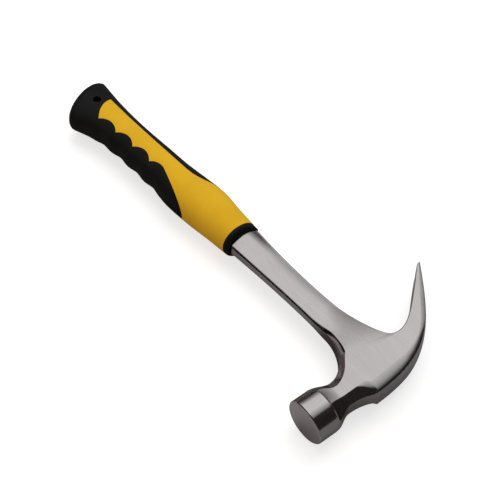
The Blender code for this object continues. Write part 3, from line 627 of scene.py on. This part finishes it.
def crown_section(half, top_y, under, under_cut):
    """A flat-sided section with a rounded edge along the crown and small edges on its inner side."""
    side = head_half_thickness(top_y)
    narrowing = smooth(top_y, 0.0, CLAW_TIP[1] * CROWN_BAND_NARROWEST)
    band = lerp(1.0, CROWN_BAND_END / CROWN_BAND, narrowing)
    band = min(band, half * BAND_LIMIT / CROWN_BAND)
    edge = CROWN_EDGE * band
    facet = (edge, side - CROWN_BAND_DROP * band)
    upper = (facet[1] - edge, CROWN_BAND * band, CROWN_BAND_ROUNDNESS)
    lower = (under, min(under_cut, half * EDGE_LIMIT), 1.0)
    swelling = smooth(top_y, -CROWN_FRONT, CROTCH[1] * CLAW_SWELL_FULL)
    swell = min(CLAW_SWELL * swelling, half * SWELL_LIMIT)
    return forged_half(half, upper, side, lower, HEAD_SIDE_CELLS, facet, swell=swell)


def body_rings(corner):
    """Across the cheek, whose lower edge is the line that the shank grows from."""
    crotch_top = bezier(CLAW_OUTER, CROTCH_OPPOSITE)
    down = (Vector(CROTCH) - crotch_top).normalized()
    seam_end = Vector(CROTCH) - down * CLAW_EDGE
    rings = []
    for share in shares_of(BODY_CELLS):
        top = bezier(CLAW_OUTER, CROTCH_OPPOSITE * share)
        if share == 1:
            under, flat, cut = Vector(CROTCH), head_half_thickness(top.y) - CLAW_EDGE, CLAW_EDGE
        else:
            under = corner.lerp(seam_end, share)
            flat, cut = head_half_thickness(top.y), 0.0
        rings.append(whole_ring(top, under, crown_section(half_length(top, under), top.y, flat, cut)))
    return rings


def claw_rings():
    """From the crotch round to the thin tips."""
    rings = []
    for even_share in shares_of(CLAW_RINGS):
        share = 1 - (1 - even_share) ** CLAW_CROWDING
        top = bezier(CLAW_OUTER, lerp(CROTCH_OPPOSITE, 1.0, share))
        under = bezier(CLAW_INNER, share)
        half = half_length(top, under)
        edge = min(CLAW_EDGE, half * EDGE_LIMIT)
        flat = head_half_thickness(top.y) - edge
        rings.append(whole_ring(top, under, crown_section(half, top.y, flat, edge)))
    return rings


def shank_ring(front, back, grow=0.0):
    """A shank section from its front strip to its back strip, made larger all round by grow."""
    side = shank_half_thickness(front[0]) + grow
    to_head = nearness_to_head(front[0])
    along = (Vector(front) - Vector(back)).normalized()
    front = Vector(front) + along * grow
    back = Vector(back) - along * grow
    deepening = smooth(front[0], -FILLET_FROM_AXIS, -THICK_FROM_AXIS)
    widening = deepening**FILLET_WIDENING
    front_edge = (
        side - lerp(SHANK_EDGE_DEPTH, FILLET_DEPTH, deepening),
        lerp(SHANK_EDGE_BEVEL, FILLET_CUT, widening),
        lerp(SHANK_EDGE_ROUNDNESS, FILLET_ROUNDNESS, widening),
    )
    back_edge = (side - SHANK_BACK_DEPTH, SHANK_BACK_BEVEL, 1.0)
    crown = lerp(SHANK_CROWN, SHANK_FLARE_CROWN, nearness_to_grip(front[0]) ** 2) * (1 - to_head)
    section = forged_half(half_length(front, back), front_edge, side, back_edge, BODY_CELLS, crown=crown)
    return whole_ring(front, back, section)


def shank_rings():
    """From the fillets under the head down to the grip, leaning at first like the cheek's edge."""
    start = fillet(FILLET_SEAM).x
    flare_start = COLLAR_LENGTH + SHANK_FLARE_LENGTH - GRIP_START
    fronts = [fillet(lerp(FILLET_SEAM, FILLET_END, share)) for share in shares_of(FILLET_RINGS)]
    places = [lerp(FILLET_CENTRE[0], flare_start, share) for share in shares_of(SHANK_RINGS)]
    places += [lerp(flare_start, TANG_SHOULDER - GRIP_START, share) for share in shares_of(FLARE_RINGS)]
    fronts += [bezier_at_x(SHANK_FRONT_LINE, x) for x in places]
    rings = []
    for front in fronts:
        upright = min((start - front.x) / (start + SQUARE_FROM_AXIS), 1.0)
        lean = (start - CROTCH[0]) * (1 - upright) ** 2
        rings.append(shank_ring(front, bezier_at_x(SHANK_BACK, front.x - lean)))
    return rings


def tang_ring(x):
    """The tang's section, narrower than the shank and sinking to the middle of the grip."""
    share = (-x - GRIP_START) / TANG_LENGTH
    half = lerp(TANG_WIDTH, TANG_END_WIDTH, share) / 2
    middle = -TANG_OFFSET - TANG_DROP * share
    side = TANG_THICKNESS / 2
    edge = (side - SHANK_EDGE_DEPTH, SHANK_EDGE_DEPTH, 1.0)
    return whole_ring((x, middle - half), (x, middle + half), forged_half(half, edge, side, edge, BODY_CELLS))


def tang_hole_centres():
    """The middles of the holes that lock the core to the tang."""
    for index in range(TANG_HOLE_COUNT):
        behind = TANG_HOLE_FIRST + TANG_HOLE_PITCH * index
        yield (-GRIP_START - behind, -TANG_OFFSET - TANG_DROP * behind / TANG_LENGTH, 0.0)


def forging_mesh():
    """Poll, neck, cheek and claw as one run of rings, with the shank grown from the cheek's underside."""
    front = poll_rings() + neck_rings()
    seam_start = len(front) - 1
    side_end = FLAT_CELLS + EDGE_CELLS + HEAD_SIDE_CELLS
    under_middle = side_end + EDGE_CELLS + FLAT_CELLS
    far_end = under_middle + EDGE_CELLS + FLAT_CELLS
    corner = Vector(front[seam_start][side_end][:2])
    rings = front + body_rings(corner) + claw_rings()
    seam_end = seam_start + BODY_CELLS

    work = bmesh.new()
    head = [[work.verts.new(point) for point in ring] for ring in rings]
    for index, (ring, following) in enumerate(zip(head, head[1:])):
        opened = range(side_end, far_end) if seam_start <= index < seam_end else ()
        bridge(work, ring, following, skip=opened)
    work.faces.new(head[0])
    work.faces.new(head[-1])

    seam = [head[seam_start][k] for k in range(under_middle, side_end, -1)]
    seam += [head[i][side_end] for i in range(seam_start, seam_end)]
    seam += [head[seam_end][k] for k in range(side_end, far_end)]
    seam += [head[i][far_end] for i in range(seam_end, seam_start, -1)]
    seam += [head[seam_start][k] for k in range(far_end, under_middle, -1)]
    lower = shank_rings()
    lower += [tang_ring(-GRIP_START - TANG_LENGTH * k / TANG_RINGS) for k in range(TANG_RINGS + 1)]
    loops = [seam] + [[work.verts.new(point) for point in ring] for ring in lower]
    for ring, following in zip(loops, loops[1:]):
        bridge(work, ring, following)
    work.faces.new(loops[-1])
    bmesh.ops.delete(work, geom=[v for v in work.verts if not v.link_faces], context="VERTS")
    return finished_mesh("forging", work)


def slot_mesh():
    """A wedge with a round root, wider towards the inside of the claw, for the nail slot."""
    tip = Vector(CLAW_TIP)
    aim = (bezier(CLAW_OUTER, SLOT_AIM) + bezier(CLAW_INNER, SLOT_AIM)) / 2
    along = (aim - tip).normalized()
    across = Vector((along.y, -along.x))
    root = SLOT_ROOT / 2
    rings = []
    taper = (SLOT_MOUTH / 2 - root) / (SLOT_LENGTH - root)
    for side in (-1, 1):
        spread = SLOT_DRAFT / 2 * side
        mouth = SLOT_MOUTH / 2 + SLOT_MOUTH * taper + spread
        root_width = root + spread / 2
        outline = [(-SLOT_MOUTH, mouth)]
        for k in range(SLOT_ROOT_CELLS):
            turn = math.pi / 2 * k / SLOT_ROOT_CELLS
            outline.append((SLOT_LENGTH - root + root * math.sin(turn), root_width * math.cos(turn)))
        outline.append((SLOT_LENGTH, 0.0))
        outline += [(s, -w) for s, w in reversed(outline[:-1])]
        ring = []
        for s, w in outline:
            point = tip + along * s - across * side * CHEEK_THICKNESS
            ring.append((point.x, point.y, w))
        rings.append(ring)
    return loft("nail_slot", rings)


def grip_ring(station, sides, inset=0.0, scoops=False):
    """An oval between the finger side and the palm side, angles counted from the finger side."""
    finger_back, palm_back, finger_out, palm_out, thickness = station
    finger = Vector((-GRIP_START - finger_back, -finger_out))
    palm = Vector((-GRIP_START - palm_back, palm_out))
    middle = (finger + palm) / 2
    along = (finger - palm).normalized()
    half = half_length(finger, palm) - inset
    thickness -= inset
    ring = []
    for k in range(sides):
        turn = 2 * math.pi * k / sides
        across, up = math.cos(turn), math.sin(turn)
        power = 2 / SECTION_SQUARENESS
        out = math.copysign(abs(across) ** power, across) * half
        rise = math.copysign(abs(up) ** power, up) * thickness
        point = middle + along * out
        if scoops:
            hollow = 1 - scoop(-GRIP_START - point.x, turn) / half
            point = middle + along * out * hollow
            rise *= hollow
        ring.append((point.x, point.y, rise))
    return ring


def scoop(behind, turn):
    """How deep the finger scoops are here: a wave along the grip that fades out round its sides."""
    degrees = math.degrees(math.acos(math.cos(turn)))
    fade_start, fade_end = (SCOOP_REACH * share for share in SCOOP_FADE)
    fade = 1 - smooth(degrees, fade_start, fade_end)
    wave = 0.5 - 0.5 * math.cos(2 * math.pi * (behind - FIRST_CUSP) / FINGER_PITCH)
    first, last = FIRST_CUSP - FINGER_PITCH, FIRST_CUSP + FINGER_PITCH * (FINGER_COUNT - 1)
    window = 1.0 if first <= behind <= last else 0.0
    return SCOOP_DEPTH * fade * wave * window


def plan_centre(ring):
    """The mean of a ring's points, in plan."""
    return Vector((sum(p[0] for p in ring), sum(p[1] for p in ring))) / len(ring)


def dome_rings(station, sides):
    """Rings that shrink over the rounded butt end, square to its last oval."""
    finger_back, palm_back, finger_out, palm_out, _ = station
    across = Vector((finger_back - palm_back, finger_out + palm_out)).normalized()
    outward = Vector((-across.y, across.x))
    base = grip_ring(station, sides)
    middle = plan_centre(base)
    rings = []
    for share in BUTT_RING_HEIGHTS:
        scale = (1 - share**BUTT_SQUARENESS) ** (1 / BUTT_SQUARENESS)
        moved = middle + outward * BUTT_DOME * share
        ring = []
        for x, y, z in base:
            ring.append((moved.x + (x - middle.x) * scale, moved.y + (y - middle.y) * scale, z * scale))
        rings.append(ring)
    return rings


def core_room_mesh():
    """The rigid core's outer form with its clearance, drawn out past the grip's front end."""
    stations = spline(GRIP_STATIONS, CORE_STEPS)
    rings = [grip_ring(station, CORE_SIDES, inset=COVER_THICKNESS - GAP) for station in stations]
    last = plan_centre(rings[-1])
    end = []
    for x, y, z in rings[-1]:
        x, y = (lerp(middle, side, CORE_END_TAPER) for middle, side in zip(last, (x, y)))
        end.append((x - GAP, y, z * CORE_END_TAPER))
    rings[-1] = end
    rings.insert(0, [(x + PANEL_MARGIN, y, z) for x, y, z in rings[0]])
    return loft("core_room", rings)


def arc(start, end, rise):
    """Points after start, up to end, on an arc that rises to the left of the way from start to end."""
    start, end = Vector(start), Vector(end)
    chord = end - start
    normal = Vector((-chord.y, chord.x)).normalized()
    points = []
    for share in shares_of(ARC_STEPS):
        points.append(tuple(start.lerp(end, share) + normal * rise * 4 * share * (1 - share)))
    return points


def panel_outline(grow=0.0):
    """The yellow area in plan: round the grip's front, back along both sides, scalloped by the fingers."""
    cusps = []
    for index in range(FINGER_COUNT):
        back = FIRST_CUSP + FINGER_PITCH * index
        cusps.append((back, CUSP_OFFSET + CUSP_LEAN * index + CUSP_CURVE * index**2))
    palm_clear = -GRIP_STATIONS[0][3] - PANEL_MARGIN
    finger_clear = GRIP_STATIONS[0][2] + PANEL_MARGIN
    line = [(-PANEL_MARGIN, palm_clear), (SPINE_LINE[-1][0], palm_clear)]
    line += reversed(spline((PANEL_REAR_CORNER,) + SPINE_LINE, SPINE_STEPS))
    line += arc(PANEL_REAR_CORNER, cusps[-1], -PANEL_REAR_BULGE)
    for start, end in zip(reversed(cusps), reversed(cusps[:-1])):
        line += arc(start, end, LOBE_RISE)
    line += arc(cusps[0], PANEL_LINE_START, LOBE_RISE * FIRST_LOBE_SHARE)
    line.append(PANEL_LINE_END)
    line += [(PANEL_LINE_END[0], finger_clear), (-PANEL_MARGIN, finger_clear)]
    return offset_outline(behind_grip_front(line), grow)


def offset_outline(outline, grow):
    """The outline with each corner pushed out by grow along the mean of its two sides' normals."""
    area = sum(a[0] * b[1] - b[0] * a[1] for a, b in zip(outline, outline[1:] + outline[:1]))
    facing = math.copysign(1.0, area)
    moved = []
    count = len(outline)
    for k, point in enumerate(outline):
        before, here, after = (Vector(p) for p in (outline[k - 1], point, outline[(k + 1) % count]))
        first, second = (here - before).normalized(), (after - here).normalized()
        normal = Vector((first.y + second.y, -first.x - second.x)).normalized()
        moved.append(tuple(here + normal * grow * facing))
    return moved


def behind_grip_front(points):
    """Plan points from (distance behind the grip's front end, distance to the finger side)."""
    return [(-GRIP_START - back, -out) for back, out in points]


# Pieces


def add_object(name, data):
    """A new object in the scene."""
    obj = bpy.data.objects.new(name, data)
    bpy.context.scene.collection.objects.link(obj)
    return obj


def plain_mesh(name, work):
    """The bmesh as a mesh, as it is."""
    mesh = bpy.data.meshes.new(name)
    work.to_mesh(mesh)
    work.free()
    return mesh


def smoothed(mesh):
    """The mesh with smooth shading but for its sharp edges."""
    mesh.shade_smooth()
    mesh.set_sharp_from_angle(angle=SHARP_ANGLE)
    return mesh


def finished_mesh(name, work):
    """The bmesh as a smooth mesh with its faces pointing out."""
    bmesh.ops.recalc_face_normals(work, faces=work.faces)
    return smoothed(plain_mesh(name, work))


def cylinder(name, radius, depth, place):
    """An upright cylinder with its middle at this place."""
    work = bmesh.new()
    bmesh.ops.create_cone(
        work, cap_ends=True, segments=HOLE_SIDES, radius1=radius, radius2=radius, depth=depth
    )
    bmesh.ops.translate(work, verts=work.verts, vec=place)
    return finished_mesh(name, work)


def split_large_faces(mesh):
    """Splits faces with more than four corners into well-shaped triangles, so that no slivers are left."""
    work = bmesh.new()
    work.from_mesh(mesh)
    large = [face for face in work.faces if len(face.verts) > 4]
    bmesh.ops.triangulate(work, faces=large, ngon_method="BEAUTY")
    work.to_mesh(mesh)
    work.free()


def carved(name, mesh, steps):
    """The mesh after Booleans, each given as (operation, other mesh)."""
    body = add_object(name, mesh)
    tools = []
    for operation, other in steps:
        tool = add_object(other.name, other)
        modifier = body.modifiers.new(other.name, "BOOLEAN")
        modifier.operation = operation
        modifier.object = tool
        tools.append(tool)
    graph = bpy.context.evaluated_depsgraph_get()
    result = bpy.data.meshes.new_from_object(body.evaluated_get(graph))
    result.name = name
    for obj in [body] + tools:
        bpy.data.objects.remove(obj)
    split_large_faces(result)
    return smoothed(result)


def add_piece(name, mesh, material, node, edge=0.0):
    """A finished piece that stands for a CAD node, moved from the tool's frame to the model's."""
    mesh.materials.clear()
    mesh.materials.append(material)
    piece = add_object(name, mesh)
    piece.location = SHIFT
    if edge:
        bevel = piece.modifiers.new("rounded_edges", "BEVEL")
        bevel.width = edge
        bevel.segments = BEVEL_SEGMENTS
        bevel.limit_method = "ANGLE"
        bevel.angle_limit = SHARP_ANGLE
    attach(piece, "root")
    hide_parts(node)
    return piece


def forging(material):
    """The steel head, shank and tang, with the nail slot and the tang's holes."""
    steps = [("DIFFERENCE", slot_mesh())]
    for place in tang_hole_centres():
        steps.append(("DIFFERENCE", cylinder("tang_hole", TANG_HOLE_DIAMETER / 2, CHEEK_THICKNESS, place)))
    mesh = carved("steel_forging", forging_mesh(), steps)
    piece = add_piece("steel_forging", mesh, material, "forged_head_and_shank", edge=FORGED_EDGE)


def grip_mesh(name):
    """The whole outside of the grip, with its finger scoops and its domed butt."""
    stations = spline(GRIP_STATIONS, STATION_STEPS)
    rings = [grip_ring(station, GRIP_SIDES, scoops=True) for station in stations]
    return loft(name, rings + dome_rings(GRIP_STATIONS[-1], GRIP_SIDES))


def grip_covers(yellow, black):
    """The yellow sleeve and the black overmould, which share the grip's outside along the colour line."""
    room = core_room_mesh()
    panel = prism("panel_area", panel_outline(), POLL_DIAMETER)
    opening = prism("panel_opening", panel_outline(SEAM), POLL_DIAMETER)
    hole_place = (-GRIP_START - HANG_HOLE_BACK, -HANG_HOLE_OFFSET, 0.0)
    hole = cylinder("hang_hole", HANG_HOLE_DIAMETER / 2, POLL_DIAMETER * 2, hole_place)
    sleeve = carved("yellow_sleeve", grip_mesh("sleeve"), [("INTERSECT", panel), ("DIFFERENCE", room)])
    cuts = [("DIFFERENCE", tool) for tool in (opening, room, hole)]
    cover = carved("black_overmould", grip_mesh("cover"), cuts)
    add_piece("yellow_sleeve", sleeve, yellow, "grip_sleeve")
    add_piece("black_overmould", cover, black, "grip_overmould")


def front_collar(material):
    """The rounded ring that closes the grip round the shank."""
    _, _, finger_out, palm_out, thickness = GRIP_STATIONS[0]
    rear_x = -GRIP_START + SEAM
    length = COLLAR_LENGTH + GAP - SEAM
    nose = length - COLLAR_STRAIGHT
    bore = shank_ring((-GRIP_START, -SHANK_FLARE_FRONT), (-GRIP_START, SHANK_FLARE_BACK), grow=SEAM)
    bore = [(y, z) for _, y, z in bore]
    middle = (palm_out - finger_out) / 2
    half = (palm_out + finger_out) / 2
    outside = []
    lip = []
    for y, z in bore:
        turn = math.atan2(z / thickness, (y - middle) / half)
        outside.append((middle + half * math.cos(turn), thickness * math.sin(turn)))
        reach = 1 + COLLAR_LIP / math.hypot(y, z)
        lip.append((y * reach, z * reach))
    rings = [[(rear_x, y, z) for y, z in outside]]
    for step in range(COLLAR_RINGS + 1):
        turn = math.pi / 2 * step / COLLAR_RINGS
        x = rear_x + COLLAR_STRAIGHT + nose * math.sin(turn)
        share = math.cos(turn)
        rings.append(
            [(x, lerp(a[0], b[0], share), lerp(a[1], b[1], share)) for a, b in zip(lip, outside)]
        )
    rings.append([(rear_x + length, y, z) for y, z in bore])
    rings.append([(rear_x, y, z) for y, z in bore])
    mesh = loft("collar_ring", rings, closed=True)
    add_piece("collar_ring", mesh, material, "front_collar")


# Materials


def add_node(tree, kind, settings=(), **inputs):
    """A node with its settings, and inputs by name or as in0, in1, each a value or another node's output."""
    made = tree.nodes.new(kind)
    for name, value in dict(settings).items():
        setattr(made, name, value)
    for name, value in inputs.items():
        socket = made.inputs[int(name[2:]) if name.startswith("in") else name]
        if isinstance(value, bpy.types.NodeSocket):
            tree.links.new(value, socket)
        else:
            socket.default_value = value
    return made


def new_material(name, roughness, metallic=0.0, specular=0.5):
    """A material with its shader, and the node that gives places on the object in metres."""
    material = bpy.data.materials.new(name)
    material.use_nodes = True
    tree = material.node_tree
    shader = tree.nodes["Principled BSDF"]
    shader.inputs["Metallic"].default_value = metallic
    shader.inputs["Roughness"].default_value = roughness
    shader.inputs["Specular IOR Level"].default_value = specular
    place = tree.nodes.new("ShaderNodeTexCoord").outputs["Object"]
    return material, tree, shader, place


def grain(tree, place, scale, detail=3.0):
    """Noise from 0 to 1 whose cells per metre differ along X, Y and Z."""
    mapping = add_node(tree, "ShaderNodeMapping", Vector=place, Scale=scale)
    return add_node(
        tree, "ShaderNodeTexNoise", Vector=mapping.outputs["Vector"], Scale=1.0, Detail=detail
    ).outputs["Fac"]


def remap(tree, value, low, high, start=NOISE_LOW, end=NOISE_HIGH):
    """The value's range from start to end spread between low and high."""
    return add_node(
        tree, "ShaderNodeMapRange", in0=value, in1=start, in2=end, in3=low, in4=high
    ).outputs["Result"]


def blend(tree, share, first, second):
    """A value between two others."""
    return add_node(tree, "ShaderNodeMix", in0=share, in2=first, in3=second).outputs[0]


def tint(tree, value, dark, light):
    """A colour between two, picked by a value from 0 to 1."""
    return add_node(
        tree, "ShaderNodeMix", {"data_type": "RGBA"}, in0=value, in6=(*dark, 1.0), in7=(*light, 1.0)
    ).outputs[2]


def bump(tree, height, strength, distance):
    """A normal that is tilted by a height."""
    return add_node(
        tree, "ShaderNodeBump", Height=height, Strength=strength, Distance=distance
    ).outputs["Normal"]


def brushed_steel():
    """Satin steel: grinding lines along the shank and across the head, lines along the axis on the poll."""
    material, tree, shader, place = new_material("brushed_steel", STEEL_PLAIN_ROUGHNESS, metallic=1.0)
    split = add_node(tree, "ShaderNodeSeparateXYZ", Vector=place)
    on_poll = remap(tree, split.outputs["Y"], 1.0, 0.0, SHOULDER_Y, SHOULDER_Y + SHOULDER_EDGE)
    fine = blend(tree, on_poll, *(grain(tree, place, scale) for scale in FINE_LINES))
    broad = blend(tree, on_poll, *(grain(tree, place, scale) for scale in BROAD_LINES))
    cloud = grain(tree, place, STEEL_CLOUD)
    tone = remap(tree, blend(tree, 0.5, blend(tree, 0.5, broad, cloud), fine), 0.0, 1.0)
    tree.links.new(tint(tree, tone, STEEL_DARK, STEEL_LIGHT), shader.inputs["Base Color"])
    tree.links.new(remap(tree, broad, *STEEL_ROUGHNESS), shader.inputs["Roughness"])
    tree.links.new(bump(tree, fine, STEEL_BUMP, STEEL_BUMP_DEPTH), shader.inputs["Normal"])
    return material


def moulded(name, dark, light, roughness, specular, texture):
    """A moulded surface: faint cloudy colour, a fine eroded texture and uneven gloss."""
    material, tree, shader, place = new_material(name, sum(roughness) / 2, specular=specular)
    cloud = grain(tree, place, MOULD_CLOUD)
    fine = grain(tree, place, MOULD_TEXTURE, detail=MOULD_TEXTURE_DETAIL)
    tree.links.new(tint(tree, remap(tree, cloud, 0.0, 1.0), dark, light), shader.inputs["Base Color"])
    tree.links.new(remap(tree, cloud, *roughness), shader.inputs["Roughness"])
    tree.links.new(bump(tree, fine, texture, MOULD_TEXTURE_DEPTH), shader.inputs["Normal"])
    return material


# Stage


def cleared_tree(owner):
    """The node tree of a material or a world, emptied."""
    owner.use_nodes = True
    owner.node_tree.nodes.clear()
    return owner.node_tree


def surface(tree, kind, share, first, second):
    """The output of a material or a world: one shader, or by its share the other."""
    mix = add_node(tree, "ShaderNodeMixShader", in0=share, in1=first.outputs[0], in2=second.outputs[0])
    add_node(tree, kind, Surface=mix.outputs[0])


def add_card(name, mesh, colour, axis, solid, clear):
    """A dark card that only shows in reflections, as a studio sets beside bright metal. The darker one under
    the fillet is painted shade: it stands for the floor's contact shadow there.

    Along its axis it is solid up to one place and fades away to the next.
    """
    material = bpy.data.materials.new(name)
    tree = cleared_tree(material)
    place = tree.nodes.new("ShaderNodeTexCoord").outputs["Object"]
    split = add_node(tree, "ShaderNodeSeparateXYZ", Vector=place)
    fade = remap(tree, split.outputs[axis], 0.0, 1.0, solid, clear)
    dark = add_node(tree, "ShaderNodeBsdfDiffuse", Color=(*colour, 1.0))
    gone = add_node(tree, "ShaderNodeBsdfTransparent")
    surface(tree, "ShaderNodeOutputMaterial", fade, dark, gone)
    mesh.materials.append(material)
    card = add_object(name, mesh)
    card.visible_camera = False
    card.visible_diffuse = False
    card.visible_shadow = False
    card.visible_transmission = False


def wall_mesh(name, radius, low, high, start, end):
    """A curved wall round the object, between two angles in degrees from +X."""
    work = bmesh.new()
    rings = []
    for step in range(WALL_STEPS + 1):
        angle = math.radians(lerp(start, end, step / WALL_STEPS))
        x, y = radius * math.cos(angle), radius * math.sin(angle)
        rings.append([work.verts.new((x, y, z)) for z in (low, high)])
    for (a, b), (c, d) in zip(rings, rings[1:]):
        work.faces.new((a, c, d, b))
    return plain_mesh(name, work)


def plane_mesh(name, low, high, z):
    """A level rectangle between two corners in plan."""
    work = bmesh.new()
    corners = ((low[0], low[1]), (high[0], low[1]), (high[0], high[1]), (low[0], high[1]))
    work.faces.new([work.verts.new((x, y, z)) for x, y in corners])
    return plain_mesh(name, work)


def seen_directly(tree):
    """1 for rays from the camera and for those that mirrors and glass send on, else 0."""
    path = tree.nodes.new("ShaderNodeLightPath").outputs
    seen = path["Is Camera Ray"]
    for ray in ("Is Glossy Ray", "Is Transmission Ray"):
        seen = add_node(tree, "ShaderNodeMath", {"operation": "MAXIMUM"}, in0=seen, in1=path[ray]).outputs[0]
    return seen


def floor():
    """A plain pale floor that keeps the object's shadow."""
    mesh = plane_mesh("floor", (-FLOOR_REACH, -FLOOR_REACH), (FLOOR_REACH, FLOOR_REACH), -FLOOR_GAP)
    material = bpy.data.materials.new("floor")
    tree = cleared_tree(material)
    grey = add_node(tree, "ShaderNodeBsdfDiffuse", Color=(*FLOOR_GREY, 1.0))
    pale = add_node(tree, "ShaderNodeBsdfDiffuse", Color=(*FLOOR_PALE, 1.0))
    glow = add_node(tree, "ShaderNodeEmission", Color=(*WHITE, 1.0), Strength=FLOOR_GLOW)
    bright = add_node(tree, "ShaderNodeAddShader", in0=pale.outputs[0], in1=glow.outputs[0])
    surface(tree, "ShaderNodeOutputMaterial", seen_directly(tree), grey, bright)
    mesh.materials.append(material)
    add_object("floor", mesh)


def world():
    """Even soft light, and white where the camera or a mirror sees it."""
    made = bpy.data.worlds.new("studio")
    tree = cleared_tree(made)
    fill = add_node(tree, "ShaderNodeBackground", Color=(*WHITE, 1.0), Strength=WORLD_FILL)
    white = add_node(tree, "ShaderNodeBackground", Color=(*WHITE, 1.0), Strength=WORLD_WHITE)
    surface(tree, "ShaderNodeOutputWorld", seen_directly(tree), fill, white)
    bpy.context.scene.world = made


def softbox(name, direction, size, power, colour):
    """A square lamp that faces the object and does not show in the steel."""
    light = bpy.data.lights.new(name, "AREA")
    light.color = colour
    light.shape = "SQUARE"
    light.size = size
    light.energy = power
    obj = add_object(name, light)
    obj.location = Vector(direction).normalized() * SOFTBOX_DISTANCE
    obj.rotation_euler = Vector(direction).to_track_quat("Z", "Y").to_euler()
    obj.visible_glossy = False


def camera():
    """The camera at the photograph's viewing angle."""
    azimuth, elevation = (math.radians(angle) for angle in CAMERA_ANGLES)
    level = math.cos(elevation)
    back = Vector((math.sin(azimuth) * level, -math.cos(azimuth) * level, math.sin(elevation)))
    data = bpy.data.cameras.new("camera")
    data.sensor_width = SENSOR_WIDTH
    data.lens = LENS
    obj = add_object("camera", data)
    obj.location = SHIFT + Vector(CAMERA_TARGET) + back * CAMERA_DISTANCE
    obj.rotation_euler = back.to_track_quat("Z", "Y").to_euler()
    bpy.context.scene.camera = obj


def stage():
    """Floor, light and the cards that the steel mirrors."""
    floor()
    world()
    for lamp in SOFTBOXES:
        softbox(*lamp)
    for name, radius, low, high, start, end, colour, solid, clear in WALL_CARDS:
        add_card(name, wall_mesh(name, radius, low, high, start, end), colour, "Z", solid, clear)
    for name, low, high, z, colour, solid, clear in LEVEL_CARDS:
        add_card(name, plane_mesh(name, low, high, z), colour, "X", solid, clear)


def main():
    """The whole scene: materials, pieces, stage and camera."""
    steel = brushed_steel()
    yellow = moulded("yellow_plastic", *YELLOW_PLASTIC)
    black = moulded("black_rubber", *BLACK_RUBBER)
    collar = moulded("collar_rubber", *COLLAR_RUBBER)
    core = moulded("core_plastic", *CORE_PLASTIC)
    forging(steel)
    grip_covers(yellow, black)
    front_collar(collar)
    core_materials = frame["nodes"]["grip_core"].data.materials
    core_materials.clear()
    core_materials.append(core)
    stage()
    camera()
    bpy.context.scene.view_settings.view_transform = "Standard"


main()
